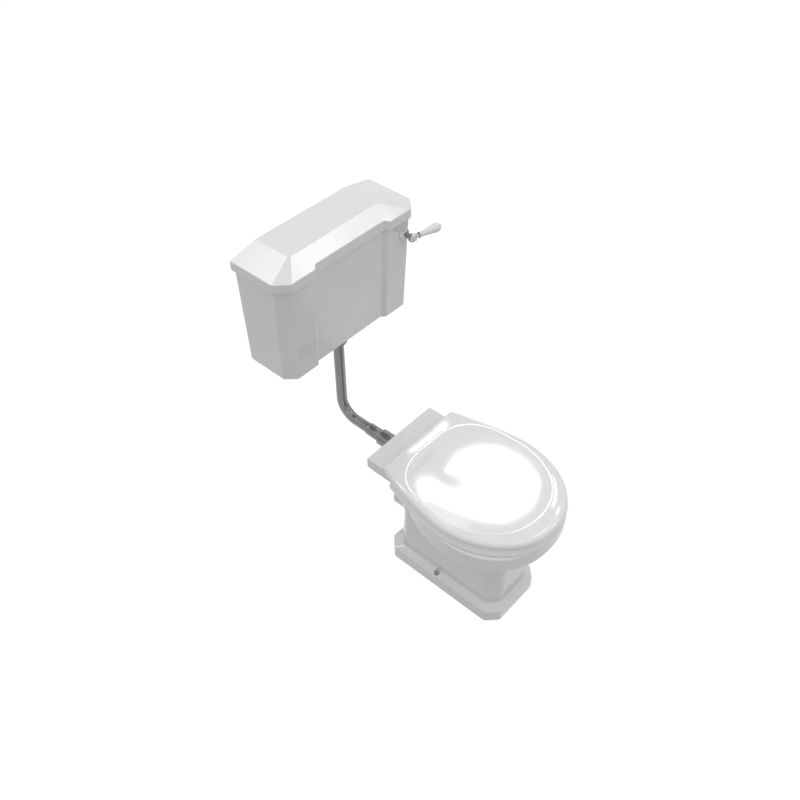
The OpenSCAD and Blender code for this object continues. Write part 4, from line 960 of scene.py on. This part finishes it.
neck = cylinder("lever_neck", (LEVER_X, HUB.y + 8, LEVER_Z), (LEVER_X, LEVER.y - 12, LEVER_Z), 7.9)
stub = lathe("lever_stub", [(5, 0), (5, 6.6), (9, 6.5), (12, 6.1), (13.6, 5.6), (14.6, 6.2),
                            (15.8, 6.9), (17, 7.0), (18.2, 6.9), (19.3, 6.2), (20.2, 5.5),
                            (24, 5.5), (24, 0)], HUB, ALONG, 72, 30)
ball_turns = [math.radians(a) for a in range(0, 181, 5)]
ball_line = [(HUB_R * -math.cos(a), HUB_R * math.sin(a)) for a in ball_turns]
hub = lathe("lever_knuckle", ball_line, HUB, (0, -1, 0), 96, 50)
boolean(hub, [neck, stub], "UNION")
boolean(hub, [cylinder("spindle_way", (LEVER_X, HUB.y + 3.8, LEVER_Z), LEVER, 5.02, 48)])
shade(hub, 40)
weighted(hub)
finish_piece(hub, "lever", "lever_chrome", "lever_hub")

collar_ring = lathe("lever_ring", [(24.1, 0), (24.1, 5.6), (24.4, 6.3)]
                    + bead(27.3, 6.1, 3.1, range(-75, 76, 10))
                    + [(30.6, 6.2), (30.9, 5.6), (30.9, 0)], HUB, ALONG, 72, 50)
finish_piece(collar_ring, "lever", "lever_chrome", "lever_collar")

# Shares of the grip's length and of its largest radius
handle_line = rounded([(0, 0.46), (0.008, 0.5), (0.03, 0.53), (0.1, 0.565), (0.2, 0.6),
                       (0.32, 0.67), (0.45, 0.76), (0.58, 0.86), (0.7, 0.94), (0.78, 0.985),
                       (0.84, 1), (0.9, 0.975), (0.95, 0.89), (0.985, 0.77), (1, 0.66)],
                      0.05, 3, False)
grip_end = GRIP_START + GRIP_L
handle = lathe("lever_grip", [(GRIP_START, 0)]
               + [(GRIP_START + GRIP_L * share, GRIP_R * r) for share, r in handle_line]
               + [(grip_end, 0)], HUB, ALONG, 72, 60)
finish_piece(handle, "lever", "handle_ceramic", "lever_handle")

cap_r = 0.58 * GRIP_R
cap_start, cap_l = grip_end + 0.1, cap_r - 0.05
cap = lathe("lever_tip", [(cap_start, 0), (cap_start, cap_r - 0.6),
                          (cap_start + 0.2, cap_r - 0.15), (cap_start + 0.7, cap_r)]
            + bead(cap_start, 0, cap_l, range(10, 90, 8), cap_r)
            + [(cap_start + cap_l, 0)], HUB, ALONG, 72, 50)
finish_piece(cap, "lever", "lever_chrome", "lever_end_cap")


# ---- Seat hinges ----

def make_posts():
    parts = []
    for side in (-1, 1):
        x = SEAT_BOLT_X * side
        stem = box("post", x - 7.5, x + 7.5, HINGE_Y - 4.5, HINGE_Y + 4.5, 402, 430)
        bevel_edges(stem, [(lambda m, w: abs(w.z) > 0.9, 2), (lambda m, w: True, 0.3)], 4)
        barrel = lathe("barrel", [(0, 0), (0, 6.3), (0.3, 6.8), (0.8, LUG_R), (14.2, LUG_R),
                                  (14.7, 6.8), (15, 6.3), (15, 0)],
                       (x - 7.5, HINGE_Y, HINGE_Z), (1, 0, 0), 72)
        foot = lathe("foot", [(0, 0), (0, 11.6), (0.4, 12), (2.2, 12), (3.2, 11.5), (3.8, 10.6),
                              (4, 9.5), (4, 0)], (x, HINGE_Y, RIM_Z + 0.3), (0, 0, 1), 72)
        boolean(barrel, [stem, foot], "UNION")
        bolt_way = cylinder("bolt_way", (x, HINGE_Y, 399), (x, HINGE_Y, 412.3), BOLT_R + 0.01, 48)
        boolean(barrel, [hinge_bar("pin_way", x - 9, x + 9, 3.52, 48), bolt_way])
        parts.append(barrel)
    return join("hinge_pillars", parts)


posts = make_posts()
shade(posts, 35)
finish_piece(posts, "toilet", "hinge_chrome", "hinge_posts")


# ---- Stage ----

def bare_material(name):
    """A material with nothing but its output."""
    mat = bpy.data.materials.new(name)
    mat.use_nodes = True
    tree = mat.node_tree
    tree.nodes.clear()
    return mat, tree, node(tree, "OutputMaterial")


def maths(tree, operation, a, b):
    result = node(tree, "Math", {0: a, 1: b})
    result.operation = operation
    return result.outputs[0]


def chosen(tree, other, shown):
    """Shows one shader to the camera, reflections and transparency, and the other to the rest."""
    rays = node(tree, "LightPath").outputs
    seen = maths(tree, "MAXIMUM", rays["Is Camera Ray"], rays["Is Glossy Ray"])
    seen = maths(tree, "MAXIMUM", seen, rays["Is Transmission Ray"])
    return node(tree, "MixShader", {0: seen, 1: other.outputs[0], 2: shown.outputs[0]}).outputs[0]


def floor_material(name, seen, shaded, bounce):
    """White where it is seen, less so in the shadow, and grey for the light it sends back."""
    mat, tree, out = bare_material(name)
    diffuse = node(tree, "BsdfDiffuse", {"Color": (bounce, bounce, bounce, 1)})
    white = node(tree, "Emission", {"Color": (1, 1, 1, 1), "Strength": seen})
    faint = node(tree, "BsdfDiffuse", {"Color": (shaded, shaded, shaded, 1)})
    shown = node(tree, "AddShader", {0: white.outputs[0], 1: faint.outputs[0]})
    tree.links.new(chosen(tree, diffuse, shown), out.inputs["Surface"])
    return mat


bm = bmesh.new()
bmesh.ops.create_grid(bm, x_segments=8, y_segments=8, size=30)
floor = new_object("floor", bm, False)
floor.data.materials.append(floor_material("floor_white", seen=0.93, shaded=0.12, bounce=0.20))

world = bpy.data.worlds.new("studio")
bpy.context.scene.world = world
world.use_nodes = True
sky = world.node_tree
sky.nodes.clear()
sky_seen = node(sky, "Background", {"Color": (1, 1, 1, 1)})
sky_light = node(sky, "Background", {"Color": (1, 1, 1, 1), "Strength": 0.78})
node(sky, "OutputWorld", {"Surface": chosen(sky, sky_light, sky_seen)})


def way(azimuth, elevation):
    """Unit direction: azimuth in degrees from +X towards +Y."""
    a, e = math.radians(azimuth), math.radians(elevation)
    return Vector((math.cos(a) * math.cos(e), math.sin(a) * math.cos(e), math.sin(e)))


def overhead(name, azimuth, elevation, distance, size, power, target):
    """A large soft lamp that gives light and shade but no highlight of its own."""
    data = bpy.data.lights.new(name, "AREA")
    data.shape = "DISK"
    data.size = size
    data.energy = power
    lamp = bpy.data.objects.new(name, data)
    bpy.context.scene.collection.objects.link(lamp)
    lamp.location = Vector(target) + way(azimuth, elevation) * distance
    lamp.rotation_euler = way(azimuth, elevation).to_track_quat("Z", "Y").to_euler()
    lamp.visible_glossy = False


def gloss_only(card):
    """Hides a card from all but reflections."""
    card.visible_camera = False
    card.visible_diffuse = False
    card.visible_shadow = False
    card.visible_transmission = False


def glow_material(name, strength, one_side):
    """Light whose strength falls off towards the card's edges with the glow of its corners."""
    mat, tree, out = bare_material(name)
    glow = node(tree, "Attribute")
    glow.attribute_name = "glow"
    level = maths(tree, "MULTIPLY", glow.outputs["Fac"], strength)
    if one_side:
        front = maths(tree, "SUBTRACT", 1, node(tree, "NewGeometry").outputs["Backfacing"])
        level = maths(tree, "MULTIPLY", level, front)
    light = node(tree, "Emission", {"Strength": level})
    clear = node(tree, "BsdfTransparent")
    both = node(tree, "AddShader", {0: light.outputs[0], 1: clear.outputs[0]})
    tree.links.new(both.outputs[0], out.inputs["Surface"])
    return mat


def glow_card(name, points, glows, faces, strength, one_side=False):
    """A softbox that shows in gloss only: points in metres, with a glow from 0 to 1 for each."""
    card = from_faces(name, [Vector(p) / MM for p in points], faces, False)
    glow = card.data.attributes.new("glow", "FLOAT", "POINT")
    for i, value in enumerate(glows):
        glow.data[i].value = value
    card.data.materials.append(glow_material(name + "_light", strength, one_side))
    if one_side and card.data.polygons[0].normal.y > 0:
        card.data.flip_normals()
    gloss_only(card)


def reflector(name, outline, strength, distance, target):
    """A glow card given by directions from the target: azimuth, elevation, softness in degrees."""
    pts = [Vector((p[0], p[1])) for p in outline]
    area = sum(pts[i - 1].x * pts[i].y - pts[i].x * pts[i - 1].y for i in range(len(pts)))
    n = len(pts)
    inner, outer = [], []
    for i, p in enumerate(pts):
        d = (pts[(i + 1) % n] - pts[i - 1]).normalized()
        out = Vector((d.y, -d.x)) * (1 if area > 0 else -1)
        soft = outline[i][2] / 2
        inner.append(p - out * soft)
        outer.append(p + out * soft)
    points = [Vector(target) + way(*p) * distance for p in inner + outer]
    faces = [tuple(range(n))] + side_quads(n)
    glow_card(name, points, [1.0] * n + [0.0] * n, faces, strength)


def flag(name, az0, az1, el0, el1, distance=28.0, steps=12):
    """A low dark board in the studio, seen in gloss only: it gives the chrome its dark bands."""
    points = [way(az0 + (az1 - az0) * i / steps, el) * distance
              for el in (el0, el1) for i in range(steps + 1)]
    faces = [(i, i + 1, steps + 2 + i, steps + 1 + i) for i in range(steps)]
    board = from_faces(name, [p / MM for p in points], faces, False)
    mat, tree, out = bare_material(name + "_black")
    black = node(tree, "Emission", {"Strength": 0.06})
    tree.links.new(black.outputs[0], out.inputs["Surface"])
    board.data.materials.append(mat)
    gloss_only(board)


# Azimuths and elevations of the dark boards
FLAGS = [(-70, -30, 2, 9), (-8, 22, 2, 8), (110, 170, 2, 10), (-165, -105, 2, 9), (48, 84, 2, 8)]
for i, spans in enumerate(FLAGS):
    flag("flag_%d" % i, *spans)

overhead("top_light", 0, 88, distance=4.0, size=3.5, power=22, target=(0, 0.1, 0.5))
crisp, mid = 0.1, 0.42
reflector("window", [
    (35.8, 46.9, mid), (34.1, 46.7, mid), (32.3, 46.7, mid), (31.1, 47.0, mid), (29.9, 47.3, mid),
    (28.4, 48.0, mid), (27.6, 48.5, crisp), (27.2, 49.1, crisp), (27.1, 49.7, crisp),
    (27.1, 50.1, crisp), (27.7, 51.3, crisp), (29.1, 52.2, crisp), (31.2, 52.8, crisp),
    (33.3, 52.9, crisp), (35.9, 52.5, crisp), (38.2, 52.1, crisp), (40.5, 51.4, crisp),
    (41.5, 51.6, mid), (42.1, 50.8, mid), (42.4, 50.2, mid), (42.2, 49.7, mid), (41.5, 49.5, mid),
    (40.2, 49.5, mid), (39.1, 50.1, mid), (37.6, 50.5, mid), (36.6, 50.1, mid), (36.4, 49.7, mid),
    (37.7, 49.4, mid), (39.0, 49.1, mid), (38.3, 48.3, mid), (37.6, 47.5, mid)],
    strength=6.5, distance=8.58, target=(0, -0.07, 0.4485))
# Strength and outline of the far cards, seen from the middle of the seat
FAR_CARDS = {
    "side_window": (6.0, [(19.6, 51.5, 1.4), (24.4, 50.8, 1.0), (24.6, 46.5, 1.0),
                          (20.5, 46, 1.4)]),
    "strip": (5.0, [(17.6, 50.6, 0.5), (16.2, 50.6, 0.5), (11.4, 56.8, 0.5), (10.8, 62.5, 0.5),
                    (12.4, 62.8, 0.5), (13.2, 57.4, 0.5)]),
    "left_glow": (1.1, [(66, 43, 2), (79, 43, 2), (79, 47, 1), (66, 47, 1)]),
    "left_window": (3.1, [(66, 47.1, 0.7), (79, 47.1, 0.7), (79, 56, 2), (66, 56, 2)]),
    "pipe_line": (3.0, [(62, 56.5, 0.6), (80, 59, 0.6), (96, 60.5, 0.6), (96, 62.5, 0.6),
                        (80, 61, 0.6), (62, 58.5, 0.6)]),
    "front_line": (4.0, [(-22, 46, 3), (-22, 56, 3), (-36, 52, 3), (-38, 42, 3)]),
    "back_line": (4.0, [(104, 42, 3), (104, 53, 3), (122, 48, 3), (122, 36, 3)]),
}
for name, (strength, outline) in FAR_CARDS.items():
    reflector(name, outline, strength, 30.0, (0, 0, 0.45))

# The card mirrored in the front slope of the cistern's lid: x and glow; it falls along x
roof = [(0.38, 0.8), (0.56, 0.8), (0.62, 0.78), (0.655, 0.66), (0.73, 0.4), (0.81, 0.24),
        (0.88, 0.16), (0.96, 0.08), (1.06, 0.0)]
n = len(roof)
glow_card("roof_window", [(x, y, 2.07 - 0.132 * x) for y in (0.53, 0.76) for x, _ in roof],
          [glow for _, glow in roof] * 2, side_quads(n)[:-1], strength=5.2)
# The card mirrored in the seat's back band: x and z in the plane y = 0.375
band = [(0.193, 0.819), (0.239, 0.822), (0.286, 0.825), (0.328, 0.824), (0.371, 0.817),
        (0.401, 0.831), (0.414, 0.864), (0.395, 0.877), (0.352, 0.875), (0.303, 0.874),
        (0.25, 0.864), (0.214, 0.848)]
n = len(band)
mid_x, mid_z = sum(x for x, _ in band) / n, sum(z for _, z in band) / n
glow_card("band_window", [(mix(x, mid_x, in_x), 0.375, mix(z, mid_z, in_z))
                          for in_x, in_z in ((0.16, 0.3), (-0.08, -0.25)) for x, z in band],
          [1.0] * n + [0.0] * n, [tuple(range(n))] + side_quads(n), strength=5.5, one_side=True)


# ---- Camera ----

# Fitted to the edges in the photo; the focal length is in pixels of its 800
AZ, EL, ROLL = math.radians(-48.03), math.radians(44.82), math.radians(-0.40)
AIM, DIST = Vector((0, 0.23367, 0.55599)), 2.6012
FOCAL_PX, WIDTH_PX, SENSOR = 925.06, 800, 36
back = Vector((math.sin(AZ) * math.cos(EL), -math.cos(AZ) * math.cos(EL), math.sin(EL)))
level = Vector((0, 0, 1)).cross(back).normalized()
upright = back.cross(level)
right = level * math.cos(ROLL) + upright * math.sin(ROLL)
up = upright * math.cos(ROLL) - level * math.sin(ROLL)
spot = AIM + back * DIST
cam_data = bpy.data.cameras.new("camera")
cam_data.sensor_width = SENSOR
cam_data.lens = FOCAL_PX / WIDTH_PX * SENSOR
cam_data.clip_end = 100
camera = bpy.data.objects.new("camera", cam_data)
bpy.context.scene.collection.objects.link(camera)
rows = [(right[i], up[i], back[i], spot[i]) for i in range(3)]
camera.matrix_world = Matrix(rows + [(0, 0, 0, 1)])
bpy.context.scene.camera = camera
bpy.context.scene.view_settings.view_transform = "Standard"
